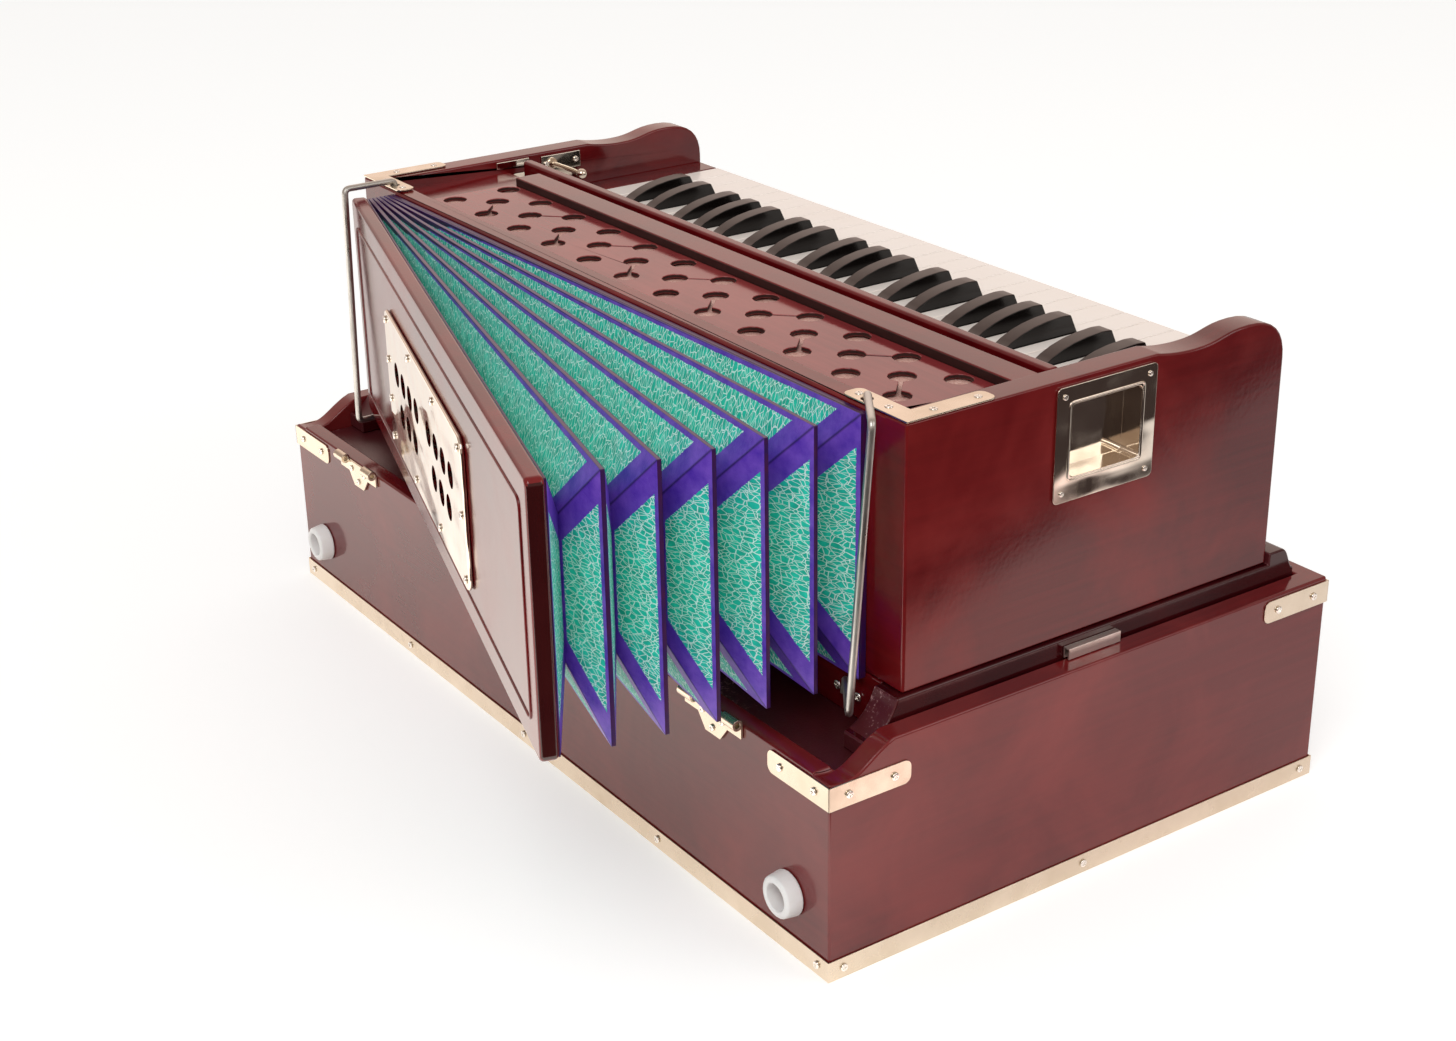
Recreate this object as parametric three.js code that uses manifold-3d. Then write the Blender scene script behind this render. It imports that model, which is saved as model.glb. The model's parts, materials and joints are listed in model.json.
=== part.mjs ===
// Portable Indian harmonium: a hand-pumped reed organ that stands raised in its own case tray.
// Millimetres, +Z up. The origin is the middle of the tray's underside. The player sits at -Y,
// +X is the player's right, and the pump bellows opens at the back, towards +Y.

import * as THREE from 'three';
import { mergeVertices } from 'three/addons/utils/BufferGeometryUtils.js';
import Module from 'manifold-3d';

const wasm = await Module();
wasm.setup();

// Clearances
const touch = 0.3;
const running = 0.5;
const overrun = 4;

// Case tray: floor, four walls and a metal band round the foot
const tray = {
  length: 640, depth: 370, floor: 9,
  endWall: 14, longWall: 12, endHeight: 134, backHeight: 121, frontHeight: 134,
  scoopLength: 42, scoopDrop: 15.7, scoopLip: 1.6,
  bandHeight: 12.5, bandThickness: 0.8,
};

// Hinge halves for the lid, on the back wall
const lidHinge = {
  fromEnd: 103, width: 54, drop: 17, tailWidth: 14, wingDrop: 8, thickness: 1.5,
  knuckle: 3.4, knuckleBore: 1.7, knuckleLength: 13, rise: 0.8,
};

// Ring feet that the closed case stands on when it is carried
const ringFoot = { fromEnd: 34.6, height: 38.2, outer: 13.5, tip: 12.3, bore: 8, depth: 10, edge: 1.5 };

// Carrying handle on the front wall
const handlePlate = {
  width: 132, height: 26, thickness: 1.6, earThickness: 4, earRadius: 7.5, earReach: 8.5,
};
const carryHandle = { centreHeight: 78, span: 100, drop: 38, wire: 3, bend: 4.5, pinLength: 9 };

// Boards that stand on the tray floor and hold the instrument up
const flap = { thickness: 12, length: 300, inset: 9 };

// Base board and what stands on it
const base = { thickness: 10, fit: 0.5, drop: 7 };
const rail = {
  height: 30.9, width: 20, frontInset: 0.2, backInset: 22.6, proud: 2.7,
  oval: 12.5, backSlope: 20.6,
  toeRise: 7.2, toeCrest: 11, toeWaist: 4.5, toeNose: 6.7,
};
const plinth = { wall: 12, frontSetback: 12 };

// Instrument body: its height, and the room round it in the tray
const body = { height: 151.5, sideGap: 3.7, backGap: 49, frontGap: 23 };
const cheek = {
  thickness: 18, cornerRadius: 26, dip: 3.2, dipReach: 71, hump: 2, humpReach: 30, flatReach: 100,
};
const board = { bottom: 10, back: 12, front: 10, frontSetback: 6 };
const intake = { radius: 20, spacing: 250, height: 52 };

// Cup handles let into both cheeks
const cup = {
  width: 72.5, height: 66, fromBack: 136.2, fromTop: 3.5, plate: 1.2,
  mouthWidth: 51, mouthHeight: 41.6, mouthDrop: 1.5, depth: 14, wall: 1.2, corner: 3,
};

// Top of the body
const top = {
  thickness: 13.5, step: 0.5, stripDepth: 19.5, backRail: 13, frameFront: 20,
  ledgeWidth: 44, ledgeDrop: 8.5,
};
const keyRail = { front: 4.6, depth: 7.9, rightSetback: 10 };
const grille = {
  thickness: 8, drop: 5.5, endMargin: 11.7, pitch: 43.9, rowSpacing: 21, rowShift: 4.4,
  hole: 8, longRow: 12, thickSlot: 2.5, thinSlot: 1.6,
};
const cornerPlate = { armX: 54, armY: 60, width: 13, thickness: 1.1 };

// Reeds and wind
const reedBoard = { thickness: 12 };
const balance = { width: 6, height: 7.7 };
const reeds = {
  backGap: 16, depth: 52, thickness: 2.6, endMargin: 22, slotWidth: 5, slotLength: 30,
};
const windHole = { width: 7, length: 24 };
const reservoir = {
  endGap: 49, frontGap: 35, backGap: 6, boardThickness: 8, foldHeight: 14, foldInset: 6,
};
const stop = {
  count: 4, height: 50, spacing: 112, shaft: 3, tail: 26, knob: 9, knobLength: 20, neck: 5, neckLength: 7,
};

// Keyboard: 42 keys from C to F
const keys = {
  whites: 25, endBlock: 23.4, side: 0.7, drop: 29, lever: 14, lift: 8, railDrop: 2,
  frontSetback: 1, whiteHead: 48, tailGap: 17, palletLength: 35, palletDrop: 7.7,
  blackWidth: 10.7, blackRise: 12, blackSlant: 5.3, crown: 8, blackBack: 50,
  barWidth: 8, barThickness: 4, barDrop: 2, blackFrontGap: 0.7,
};
const coupler = { ball: 4, stem: 1.8, reach: 22, drop: 14.7, back: 30 };

// Pump bellows: six folds on a fan that is shut at the +X end
const bellows = {
  endInset: 30.3, hingeInset: 49.3, hingeLap: 3, bottomDrop: 2.5, topDrop: 2.4, frame: 3.7,
  folds: 6, foldPitch: 3, openAngle: 17.2, leafDepth: 34, leafWall: 3, rim: 0.9, valley: 0.5,
  frameInset: 40,
};
const pump = { thickness: 10, edge: 1.6, endLap: 5, topLap: 2.4 };
const pumpPlate = {
  width: 247, height: 92.5, thickness: 2.6, corner: 9, fromHinge: 128, drop: 5.5,
  hole: 7.9, holePitch: 22.5, rowSpacing: 24.2, upperRow: 4, lowerRow: 3, clusterSpacing: 107,
};

// Wire bails that hold the pump shut
const bail = {
  wire: 2.2, reach: 41.6, bend: 4, pin: 9, bore: 3.5,
  topInset: 38.3, topSetback: 5, lowInset: 45.3, lowLap: 2.5, lowRise: 22.7, topRise: 3,
  lockedAngle: 9.7, freeAngle: 55,
};

// Heights of the stack
const boardTop = tray.backHeight - base.drop;
const boardBottom = boardTop - base.thickness;
const flapHeight = boardBottom - tray.floor - 2 * touch;
const railBottom = boardTop + touch;
const bodyBottom = railBottom + rail.height + touch;
const bodyTop = bodyBottom + body.height;
const bottomTop = bodyBottom + board.bottom;
const keyTop = bodyTop - keys.drop;
const leverBottom = keyTop - keys.lever;
const reedTop = leverBottom - keys.lift;
const frameTop = bodyTop - top.step;
const frameBottom = frameTop - top.thickness;

// The body's sides, back and front, and the room inside it
const halfLength = tray.length / 2;
const halfDepth = tray.depth / 2;
const bodyHalf = halfLength - tray.endWall - body.sideGap;
const bodyBack = halfDepth - tray.longWall - body.backGap;
const bodyFront = -halfDepth + tray.longWall + body.frontGap;
const innerHalf = bodyHalf - cheek.thickness - touch;
const frontFace = bodyFront + board.frontSetback;
const frontInner = frontFace + board.front;
const backInner = bodyBack - board.back;

// Materials
function finish(color, roughness, metalness) {
  return new THREE.MeshStandardMaterial({ color, roughness, metalness });
}
const mahogany = finish('#5a0d14', 0.25, 0);
const rawBoard = finish('#4a1c20', 0.7, 0);
const innerWood = finish('#b98c5a', 0.7, 0);
const plated = finish('#e0d3bc', 0.35, 0.9);
const chrome = finish('#d9d6d0', 0.15, 1);
const brass = finish('#b9923f', 0.4, 1);
const nylon = finish('#f0eee8', 0.5, 0);
const bellowsCard = finish('#189a82', 0.55, 0);
const bellowsTape = finish('#4a2ea0', 0.6, 0);
const blackLeather = finish('#2b2523', 0.8, 0);
const whitePlastic = finish('#f5e6dc', 0.3, 0);
const blackPlastic = finish('#2a2321', 0.35, 0);

const model = new THREE.Group();

function addPiece(name, geometry, material, parent = model) {
  const mesh = new THREE.Mesh(geometry, material);
  mesh.name = name;
  parent.add(mesh);
  return mesh;
}

// Joining and cutting
function solidOf(geometry) {
  const bare = geometry.clone();
  bare.deleteAttribute('normal');
  bare.deleteAttribute('uv');
  const merged = mergeVertices(bare);
  const index = merged.index.array;
  const triangles = [];
  for (let i = 0; i < index.length; i += 3) {
    const [a, b, c] = [index[i], index[i + 1], index[i + 2]];
    if (a !== b && b !== c && c !== a) triangles.push(a, b, c);
  }
  return new wasm.Manifold(new wasm.Mesh({
    numProp: 3,
    vertProperties: new Float32Array(merged.attributes.position.array),
    triVerts: new Uint32Array(triangles),
  }));
}

function geometryOf(solid) {
  const mesh = solid.getMesh();
  const geometry = new THREE.BufferGeometry();
  geometry.setAttribute('position', new THREE.BufferAttribute(mesh.vertProperties, 3));
  geometry.setIndex(new THREE.BufferAttribute(mesh.triVerts, 1));
  geometry.computeVertexNormals();
  return geometry;
}

function joined(...geometries) {
  const solids = geometries.map(solidOf);
  return geometryOf(solids.reduce((whole, next) => whole.add(next)));
}

function cut(geometry, cutters) {
  const solids = cutters.map(solidOf);
  return geometryOf(solids.reduce((whole, next) => whole.subtract(next), solidOf(geometry)));
}

// Plain shapes, given by their lowest and highest corners or by an outline
function block(x0, x1, y0, y1, z0, z1) {
  const geometry = new THREE.BoxGeometry(x1 - x0, y1 - y0, z1 - z0);
  return geometry.translate((x0 + x1) / 2, (y0 + y1) / 2, (z0 + z1) / 2);
}

const alongX = new THREE.Matrix4().set(0, 0, 1, 0, 1, 0, 0, 0, 0, 1, 0, 0, 0, 0, 0, 1);
const alongY = new THREE.Matrix4().set(1, 0, 0, 0, 0, 0, -1, 0, 0, 1, 0, 0, 0, 0, 0, 1);

function extruded(outline, depth, curveSegments = 8) {
  return new THREE.ExtrudeGeometry(outline, { depth, bevelEnabled: false, curveSegments });
}

// An outline in Y and Z, drawn out from x0 to x1
function prismX(outline, x0, x1, curveSegments) {
  return extruded(outline, x1 - x0, curveSegments).applyMatrix4(alongX).translate(x0, 0, 0);
}

// An outline in X and Z, drawn out from y0 to y1
function prismY(outline, y0, y1, curveSegments) {
  return extruded(outline, y1 - y0, curveSegments).applyMatrix4(alongY).translate(0, y1, 0);
}

// An outline in X and Y, drawn out from z0 to z1
function prismZ(outline, z0, z1, curveSegments) {
  return extruded(outline, z1 - z0, curveSegments).translate(0, 0, z0);
}

function polygon(points) {
  return new THREE.Shape(points.map(([a, b]) => new THREE.Vector2(a, b)));
}

function rectangle(a0, a1, b0, b1, radius = 0) {
  const shape = new THREE.Shape();
  if (radius === 0) return polygon([[a0, b0], [a1, b0], [a1, b1], [a0, b1]]);
  shape.absarc(a1 - radius, b0 + radius, radius, -Math.PI / 2, 0);
  shape.absarc(a1 - radius, b1 - radius, radius, 0, Math.PI / 2);
  shape.absarc(a0 + radius, b1 - radius, radius, Math.PI / 2, Math.PI);
  shape.absarc(a0 + radius, b0 + radius, radius, Math.PI, 1.5 * Math.PI);
  return shape;
}

function circleAt(a, b, radius) {
  const shape = new THREE.Shape();
  shape.absarc(a, b, radius, 0, 2 * Math.PI);
  return shape;
}

// A wire of round section along straight runs with rounded bends
function wire(points, radius, bend, steps) {
  const faces = 8;
  const path = new THREE.CurvePath();
  const corners = points.map((point) => new THREE.Vector3(...point));
  let from = corners[0];
  for (let i = 1; i < corners.length - 1; i += 1) {
    const corner = corners[i];
    const before = corner.clone().addScaledVector(from.clone().sub(corner).normalize(), bend);
    const after = corner.clone()
      .addScaledVector(corners[i + 1].clone().sub(corner).normalize(), bend);
    path.add(new THREE.LineCurve3(from, before));
    path.add(new THREE.QuadraticBezierCurve3(before, corner, after));
    from = after;
  }
  path.add(new THREE.LineCurve3(from, corners.at(-1)));
  const section = new THREE.Shape();
  for (let i = 0; i < faces; i += 1) {
    const angle = (2 * Math.PI * i) / faces;
    const [a, b] = [radius * Math.cos(angle), radius * Math.sin(angle)];
    if (i === 0) section.moveTo(a, b);
    else section.lineTo(a, b);
  }
  return new THREE.ExtrudeGeometry(section, { steps, extrudePath: path, bevelEnabled: false });
}

const sides = [['left', -1], ['right', 1]];

// Case tray
const trayInnerX = halfLength - tray.endWall - touch;
const trayInnerY = halfDepth - tray.longWall - touch;

addPiece('case_floor', block(-trayInnerX, trayInnerX, -trayInnerY, trayInnerY, 0, tray.floor), rawBoard);
addPiece('case_front_wall', block(-trayInnerX, trayInnerX, -halfDepth, -halfDepth + tray.longWall,
  0, tray.frontHeight), mahogany);
addPiece('case_back_wall', block(-trayInnerX, trayInnerX, halfDepth - tray.longWall, halfDepth,
  0, tray.backHeight), mahogany);

function endWallOutline() {
  const low = tray.endHeight - tray.scoopDrop;
  const start = halfDepth - tray.scoopLength;
  const lowest = halfDepth - tray.scoopLength / 4;
  const shape = new THREE.Shape();
  shape.moveTo(-halfDepth, 0);
  shape.lineTo(halfDepth, 0);
  shape.lineTo(halfDepth, low + tray.scoopLip);
  shape.quadraticCurveTo((lowest + halfDepth) / 2, low, lowest, low);
  shape.bezierCurveTo(start + tray.scoopLength / 2, low, start + tray.scoopLength / 3,
    tray.endHeight - tray.scoopDrop / 3, start, tray.endHeight);
  shape.lineTo(-halfDepth, tray.endHeight);
  return shape;
}

for (const [side, sign] of sides) {
  const inner = halfLength - tray.endWall;
  const [x0, x1] = sign > 0 ? [inner, halfLength] : [-halfLength, -inner];
  addPiece(`case_${side}_wall`, prismX(endWallOutline(), x0, x1), mahogany);
}

const bandOuterX = halfLength + touch + tray.bandThickness;
const bandOuterY = halfDepth + touch + tray.bandThickness;
const bandOutline = rectangle(-bandOuterX, bandOuterX, -bandOuterY, bandOuterY);
bandOutline.holes.push(rectangle(-halfLength - touch, halfLength + touch,
  -halfDepth - touch, halfDepth + touch));
addPiece('edge_band', prismZ(bandOutline, 0, tray.bandHeight), plated);

// Lid hinge halves: a winged plate with a rolled knuckle at each end
function lidHingeGeometry() {
  const half = lidHinge.width / 2;
  const upper = tray.backHeight;
  const plate = polygon([
    [-half, upper], [-half, upper - lidHinge.wingDrop],
    [-lidHinge.tailWidth, upper - lidHinge.wingDrop], [-lidHinge.tailWidth / 2, upper - lidHinge.drop],
    [lidHinge.tailWidth / 2, upper - lidHinge.drop], [lidHinge.tailWidth, upper - lidHinge.wingDrop],
    [half, upper - lidHinge.wingDrop], [half, upper],
  ]);
  const face = halfDepth + touch;
  const centreY = face + lidHinge.knuckle;
  const centreZ = upper + lidHinge.rise;
  const parts = [prismY(plate, face, face + lidHinge.thickness)];
  const bores = [];
  for (const sign of [-1, 1]) {
    const outer = sign * half;
    const inner = sign * (half - lidHinge.knuckleLength);
    const [x0, x1] = [Math.min(outer, inner), Math.max(outer, inner)];
    parts.push(prismX(circleAt(centreY, centreZ, lidHinge.knuckle), x0, x1, 6));
    bores.push(prismX(circleAt(centreY, centreZ, lidHinge.knuckleBore), x0 - overrun, x1 + overrun, 4));
  }
  return cut(joined(...parts), bores);
}

for (const [side, sign] of sides) {
  const hinge = addPiece(`lid_hinge_${side}`, lidHingeGeometry(), plated);
  hinge.position.x = sign * (halfLength - lidHinge.fromEnd);
}

// Ring feet
const footOutline = [
  [ringFoot.bore, 0], [ringFoot.outer, 0], [ringFoot.tip, ringFoot.depth - ringFoot.edge],
  [ringFoot.tip - ringFoot.edge, ringFoot.depth], [ringFoot.bore, ringFoot.depth], [ringFoot.bore, 0],
].map(([radius, height]) => new THREE.Vector2(radius, height));

for (const [side, sign] of sides) {
  const foot = addPiece(`foot_${side}`, new THREE.LatheGeometry(footOutline, 24), nylon);
  foot.position.set(sign * (halfLength - ringFoot.fromEnd), halfDepth + touch, ringFoot.height);
}

// Carrying handle and the plate whose ears hold it
const pivotY = -halfDepth - touch - handlePlate.earReach;
const earOuter = carryHandle.span / 2 + carryHandle.wire + running + handlePlate.earThickness;

function earOutline() {
  const root = -halfDepth - touch;
  const shape = new THREE.Shape();
  shape.moveTo(root, carryHandle.centreHeight - handlePlate.earRadius);
  shape.lineTo(root, carryHandle.centreHeight + handlePlate.earRadius);
  shape.lineTo(pivotY, carryHandle.centreHeight + handlePlate.earRadius);
  shape.absarc(pivotY, carryHandle.centreHeight, handlePlate.earRadius, Math.PI / 2, 1.5 * Math.PI);
  return shape;
}

function handlePlateGeometry() {
  const face = -halfDepth - touch;
  const half = handlePlate.width / 2;
  const plate = rectangle(-half, half, carryHandle.centreHeight - handlePlate.height / 2,
    carryHandle.centreHeight + handlePlate.height / 2, handlePlate.height / 6);
  const parts = [prismY(plate, face - handlePlate.thickness, face, 3)];
  for (const sign of [-1, 1]) {
    const near = sign * (earOuter - handlePlate.earThickness);
    const far = sign * earOuter;
    parts.push(prismX(earOutline(), Math.min(near, far), Math.max(near, far)));
  }
  const bore = prismX(circleAt(pivotY, carryHandle.centreHeight, carryHandle.wire + running),
    -half - overrun, half + overrun, 6);
  return cut(joined(...parts), [bore]);
}
addPiece('handle_plate', handlePlateGeometry(), plated);

const handleHalf = carryHandle.span / 2;
const handleEnd = handleHalf + carryHandle.pinLength;
addPiece('carry_handle', wire([
  [-handleEnd, 0, 0], [-handleHalf, 0, 0], [-handleHalf, 0, -carryHandle.drop],
  [handleHalf, 0, -carryHandle.drop], [handleHalf, 0, 0], [handleEnd, 0, 0],
], carryHandle.wire, carryHandle.bend, 36), plated)
  .position.set(0, pivotY, carryHandle.centreHeight);

// Support flaps: the top edge is rounded about the hinge so the flap clears the base board
function flapOutline(sign) {
  const turn = Math.asin(flap.thickness / flapHeight);
  const shape = new THREE.Shape();
  shape.moveTo(0, 0);
  shape.lineTo(0, flapHeight);
  shape.absarc(0, 0, flapHeight, Math.PI / 2, Math.PI / 2 - sign * turn, sign > 0);
  shape.lineTo(sign * flap.thickness, 0);
  return shape;
}

for (const [side, sign] of sides) {
  const piece = addPiece(`support_flap_${side}`,
    prismY(flapOutline(sign), -flap.length / 2, flap.length / 2, 4), rawBoard);
  piece.position.set(sign * (trayInnerX - flap.inset - flap.thickness), 0, tray.floor + touch);
}

// Base board, foot rails and plinth
const baseX = trayInnerX - base.fit;
const baseY = trayInnerY - base.fit;
addPiece('base_board', block(-baseX, baseX, -baseY, baseY, boardBottom, boardTop), rawBoard);

function railOutline() {
  const railTop = railBottom + rail.height;
  const front = -baseY + rail.frontInset;
  const back = baseY - rail.backInset;
  const shape = new THREE.Shape();
  shape.moveTo(front, railBottom);
  shape.lineTo(back, railBottom);
  shape.lineTo(back, railTop - rail.backSlope);
  shape.quadraticCurveTo(back - rail.backSlope + rail.oval / 2,
    railTop - rail.backSlope + rail.oval / 4, back - rail.backSlope, railTop);
  shape.lineTo(bodyFront - touch, railTop);
  shape.lineTo(bodyFront - touch, railTop + rail.toeRise);
  shape.lineTo(front + rail.toeCrest, railTop + rail.toeRise);
  shape.bezierCurveTo(front + rail.toeWaist, railTop + rail.toeRise,
    front + rail.toeWaist, railTop - rail.toeNose, front, railTop - rail.toeNose);
  return shape;
}

const railOuter = bodyHalf + rail.proud;
const railInner = railOuter - rail.width;
for (const [side, sign] of sides) {
  const [x0, x1] = sign > 0 ? [railInner, railOuter] : [-railOuter, -railInner];
  addPiece(`foot_rail_${side}`, prismX(railOutline(), x0, x1), mahogany);
}

const plinthX = railInner - touch;
const plinthFront = bodyFront + plinth.frontSetback;
const plinthOutline = rectangle(-plinthX, plinthX, plinthFront, bodyBack);
plinthOutline.holes.push(rectangle(-plinthX + plinth.wall, plinthX - plinth.wall,
  plinthFront + plinth.wall, bodyBack - plinth.wall));
addPiece('plinth', prismZ(plinthOutline, railBottom, railBottom + rail.height), mahogany);

// Cheeks: the shaped sides of the body, bored for the cup handles
const cupCentreY = bodyBack - cup.fromBack;
const cupTop = bodyTop - cup.fromTop;
const mouth = {
  y0: cupCentreY - cup.mouthWidth / 2,
  y1: cupCentreY + cup.mouthWidth / 2,
  z1: cupTop - cup.height / 2 + cup.mouthHeight / 2 + cup.mouthDrop,
};
mouth.z0 = mouth.z1 - cup.mouthHeight;

function cheekOutline() {
  const front = bodyFront;
  const humpY = front + cheek.humpReach;
  const dipY = front + cheek.dipReach;
  const flatY = front + cheek.flatReach;
  const shape = new THREE.Shape();
  shape.moveTo(front, bodyBottom);
  shape.lineTo(bodyBack, bodyBottom);
  shape.lineTo(bodyBack, bodyTop);
  shape.lineTo(flatY, bodyTop);
  shape.quadraticCurveTo((dipY + flatY) / 2, bodyTop - cheek.dip, dipY, bodyTop - cheek.dip);
  shape.bezierCurveTo((dipY + humpY) / 2, bodyTop - cheek.dip, (dipY + humpY) / 2,
    bodyTop + cheek.hump, humpY, bodyTop + cheek.hump);
  shape.quadraticCurveTo(front, bodyTop + cheek.hump, front, bodyTop + cheek.hump - cheek.cornerRadius);
  return shape;
}

for (const [side, sign] of sides) {
  const inner = bodyHalf - cheek.thickness;
  const [x0, x1] = sign > 0 ? [inner, bodyHalf] : [-bodyHalf, -inner];
  const gap = cup.wall + touch;
  const well = rectangle(mouth.y0 - gap, mouth.y1 + gap, mouth.z0 - gap, mouth.z1 + gap, cup.corner);
  addPiece(`cheek_${side}`, cut(prismX(cheekOutline(), x0, x1),
    [prismX(well, x0 - overrun, x1 + overrun, 3)]), mahogany);
}

// Body boards
addPiece('bottom_board', block(-innerHalf, innerHalf, frontFace, backInner - touch,
  bodyBottom, bottomTop), innerWood);

const backTop = frameBottom - touch;
const intakeHoles = sides.map(([, sign]) => circleAt((sign * intake.spacing) / 2,
  bodyBottom + intake.height, intake.radius));
const backOutline = rectangle(-innerHalf, innerHalf, bodyBottom, backTop);
backOutline.holes.push(...intakeHoles);
addPiece('back_board', prismY(backOutline, backInner, bodyBack), mahogany);

const stopPlaces = [];
for (let i = 0; i < stop.count; i += 1) stopPlaces.push((i - (stop.count - 1) / 2) * stop.spacing);
const stopZ = bodyBottom + stop.height;
const frontTop = reedTop - running;
const frontOutline = rectangle(-innerHalf, innerHalf, bottomTop + touch, frontTop);
frontOutline.holes.push(...stopPlaces.map((x) => circleAt(x, stopZ, stop.shaft + running)));
addPiece('front_board', prismY(frontOutline, frontFace, frontInner, 5), mahogany);

// Stops: turned knobs on shafts that slide in the front board
const knobOutline = [
  [0, stop.tail + board.front + touch], [stop.shaft, stop.tail + board.front + touch],
  [stop.shaft, -touch], [stop.neck, -touch], [stop.neck, -stop.neckLength],
  [stop.knob, -stop.neckLength - stop.neck / 2], [stop.knob, -stop.knobLength + stop.neck / 2],
  [stop.neck, -stop.knobLength], [0, -stop.knobLength],
].reverse().map(([radius, height]) => new THREE.Vector2(radius, height));

stopPlaces.forEach((x, i) => {
  const knob = addPiece(`stop_${i + 1}`, new THREE.LatheGeometry(knobOutline, 16), blackPlastic);
  knob.position.set(x, frontFace, stopZ);
});

// Reed board with its balance rail, and the brass reed plate under it
const keyboardHalf = innerHalf - keys.endBlock;
const keyPitch = (2 * keyboardHalf) / keys.whites;

// Black keys sit between two whites, a little off the middle, as on any keyboard
const blackOffsetShares = { 1: -0.15, 2: 0.15, 4: -0.2, 5: 0, 6: 0.2 };

function hasBlackBelow(i) {
  return i > 0 && i < keys.whites && (i % 7) in blackOffsetShares;
}

let noteCount = 0;
for (let i = 0; i < keys.whites; i += 1) noteCount += hasBlackBelow(i) ? 2 : 1;
const notePitch = (2 * (keyboardHalf - reeds.endMargin)) / (noteCount - 1);

function slotRow(width, length, centreY, z0, z1) {
  const slots = [];
  for (let i = 0; i < noteCount; i += 1) {
    const x = -keyboardHalf + reeds.endMargin + i * notePitch;
    slots.push(block(x - width / 2, x + width / 2, centreY - length / 2, centreY + length / 2, z0, z1));
  }
  return slots;
}

const reedBottom = reedTop - reedBoard.thickness;
const reedBack = backInner - reeds.backGap;
const reedFront = reedBack - reeds.depth;
const reedCentreY = (reedFront + reedBack) / 2;
const keyTail = backInner - keys.tailGap;
const palletY = keyTail - keys.palletLength / 2;
addPiece('reed_board', cut(joined(
  block(-innerHalf, innerHalf, frontInner + touch, backInner - touch, reedBottom, reedTop),
  block(-keyboardHalf, keyboardHalf, -balance.width / 2, balance.width / 2,
    reedBottom, reedTop + balance.height),
), slotRow(windHole.width, windHole.length, palletY, reedBottom - overrun, reedTop + overrun)), innerWood);
addPiece('reed_bank', cut(block(-keyboardHalf, keyboardHalf, reedFront, reedBack,
  reedBottom - touch - reeds.thickness, reedBottom - touch),
slotRow(reeds.slotWidth, reeds.slotLength, reedCentreY,
  reedBottom - reeds.thickness - overrun, reedBottom + overrun)), brass);

// Reservoir: a flat inner bellows on the bottom board, with a hinged top board
const reservoirX = innerHalf - reservoir.endGap;
const reservoirFront = frontInner + reservoir.frontGap;
const reservoirBack = backInner - reservoir.backGap;
const reservoirZ = bottomTop + touch + reservoir.foldHeight + touch;
addPiece('reservoir_folds', block(-reservoirX + reservoir.foldInset,
  reservoirX - reservoir.foldInset, reservoirFront + reservoir.foldInset,
  reservoirBack - reservoir.foldInset, bottomTop + touch, bottomTop + touch + reservoir.foldHeight),
  blackLeather);
addPiece('reservoir_board', block(-reservoirX, reservoirX, reservoirFront,
  reservoirBack, reservoirZ, reservoirZ + reservoir.boardThickness), innerWood);

// Keyboard
const whiteWidth = keyPitch - keys.side;
const whiteFront = bodyFront + keys.frontSetback;
const headBack = whiteFront + keys.whiteHead;
const railFront = keyRail.front - running;

function whiteX(i) {
  return (i - (keys.whites - 1) / 2) * keyPitch;
}

function blackX(i) {
  return whiteX(i) - keyPitch / 2 + blackOffsetShares[i % 7] * keyPitch;
}

function tailPoints() {
  return [
    [keyTail, keyTop - keys.railDrop], [keyTail, leverBottom - keys.palletDrop],
    [keyTail - keys.palletLength, leverBottom - keys.palletDrop],
    [keyTail - keys.palletLength, leverBottom],
  ];
}

// A white key's lever is narrowed where a black key stands beside it
function whiteSpan(i) {
  const half = whiteWidth / 2;
  const clear = keys.blackWidth / 2 + keys.side;
  const [low, high] = [whiteX(i) - half, whiteX(i) + half];
  return [
    hasBlackBelow(i) ? Math.max(low, blackX(i) + clear) : low,
    hasBlackBelow(i + 1) ? Math.min(high, blackX(i + 1) - clear) : high,
  ];
}

function blackSpan(i) {
  return [blackX(i) - keys.blackWidth / 2, blackX(i) + keys.blackWidth / 2];
}

function whiteKey(i) {
  const x = whiteX(i);
  const half = whiteWidth / 2;
  const [x0, x1] = whiteSpan(i);
  const lever = polygon([
    [whiteFront, leverBottom], [whiteFront, keyTop], [railFront, keyTop],
    [railFront, keyTop - keys.railDrop], ...tailPoints(),
  ]);
  return joined(prismX(lever, x0, x1),
    block(x - half, x + half, whiteFront, headBack, leverBottom, keyTop));
}

function blackKey(i) {
  const front = headBack + keys.blackFrontGap;
  const crest = keyTop + keys.blackRise;
  const shape = new THREE.Shape();
  shape.moveTo(front, leverBottom);
  shape.lineTo(front, keyTop);
  shape.lineTo(front + keys.blackSlant, crest - keys.side);
  shape.quadraticCurveTo(front + keys.blackSlant + keys.crown / 2, crest,
    front + keys.blackSlant + keys.crown, crest);
  shape.quadraticCurveTo(-keys.blackBack - keys.crown, crest - keys.side,
    -keys.blackBack + keys.crown, keyTop);
  shape.lineTo(railFront, keyTop - keys.railDrop);
  tailPoints().forEach(([y, z]) => shape.lineTo(y, z));
  return prismX(shape, ...blackSpan(i), 5);
}

// A bank's keys are tied by a bar under the levers, beside the pivot
function tieBar(spans, y0, y1) {
  const barTop = leverBottom - keys.barDrop;
  const lugs = spans.map(([x0, x1]) => block(x0 + keys.side, x1 - keys.side, y0, y1,
    barTop - keys.side, leverBottom + keys.side));
  const bar = block(spans[0][0] + keys.side, spans.at(-1)[1] - keys.side, y0, y1,
    barTop - keys.barThickness, barTop);
  return [bar, ...lugs];
}

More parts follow.
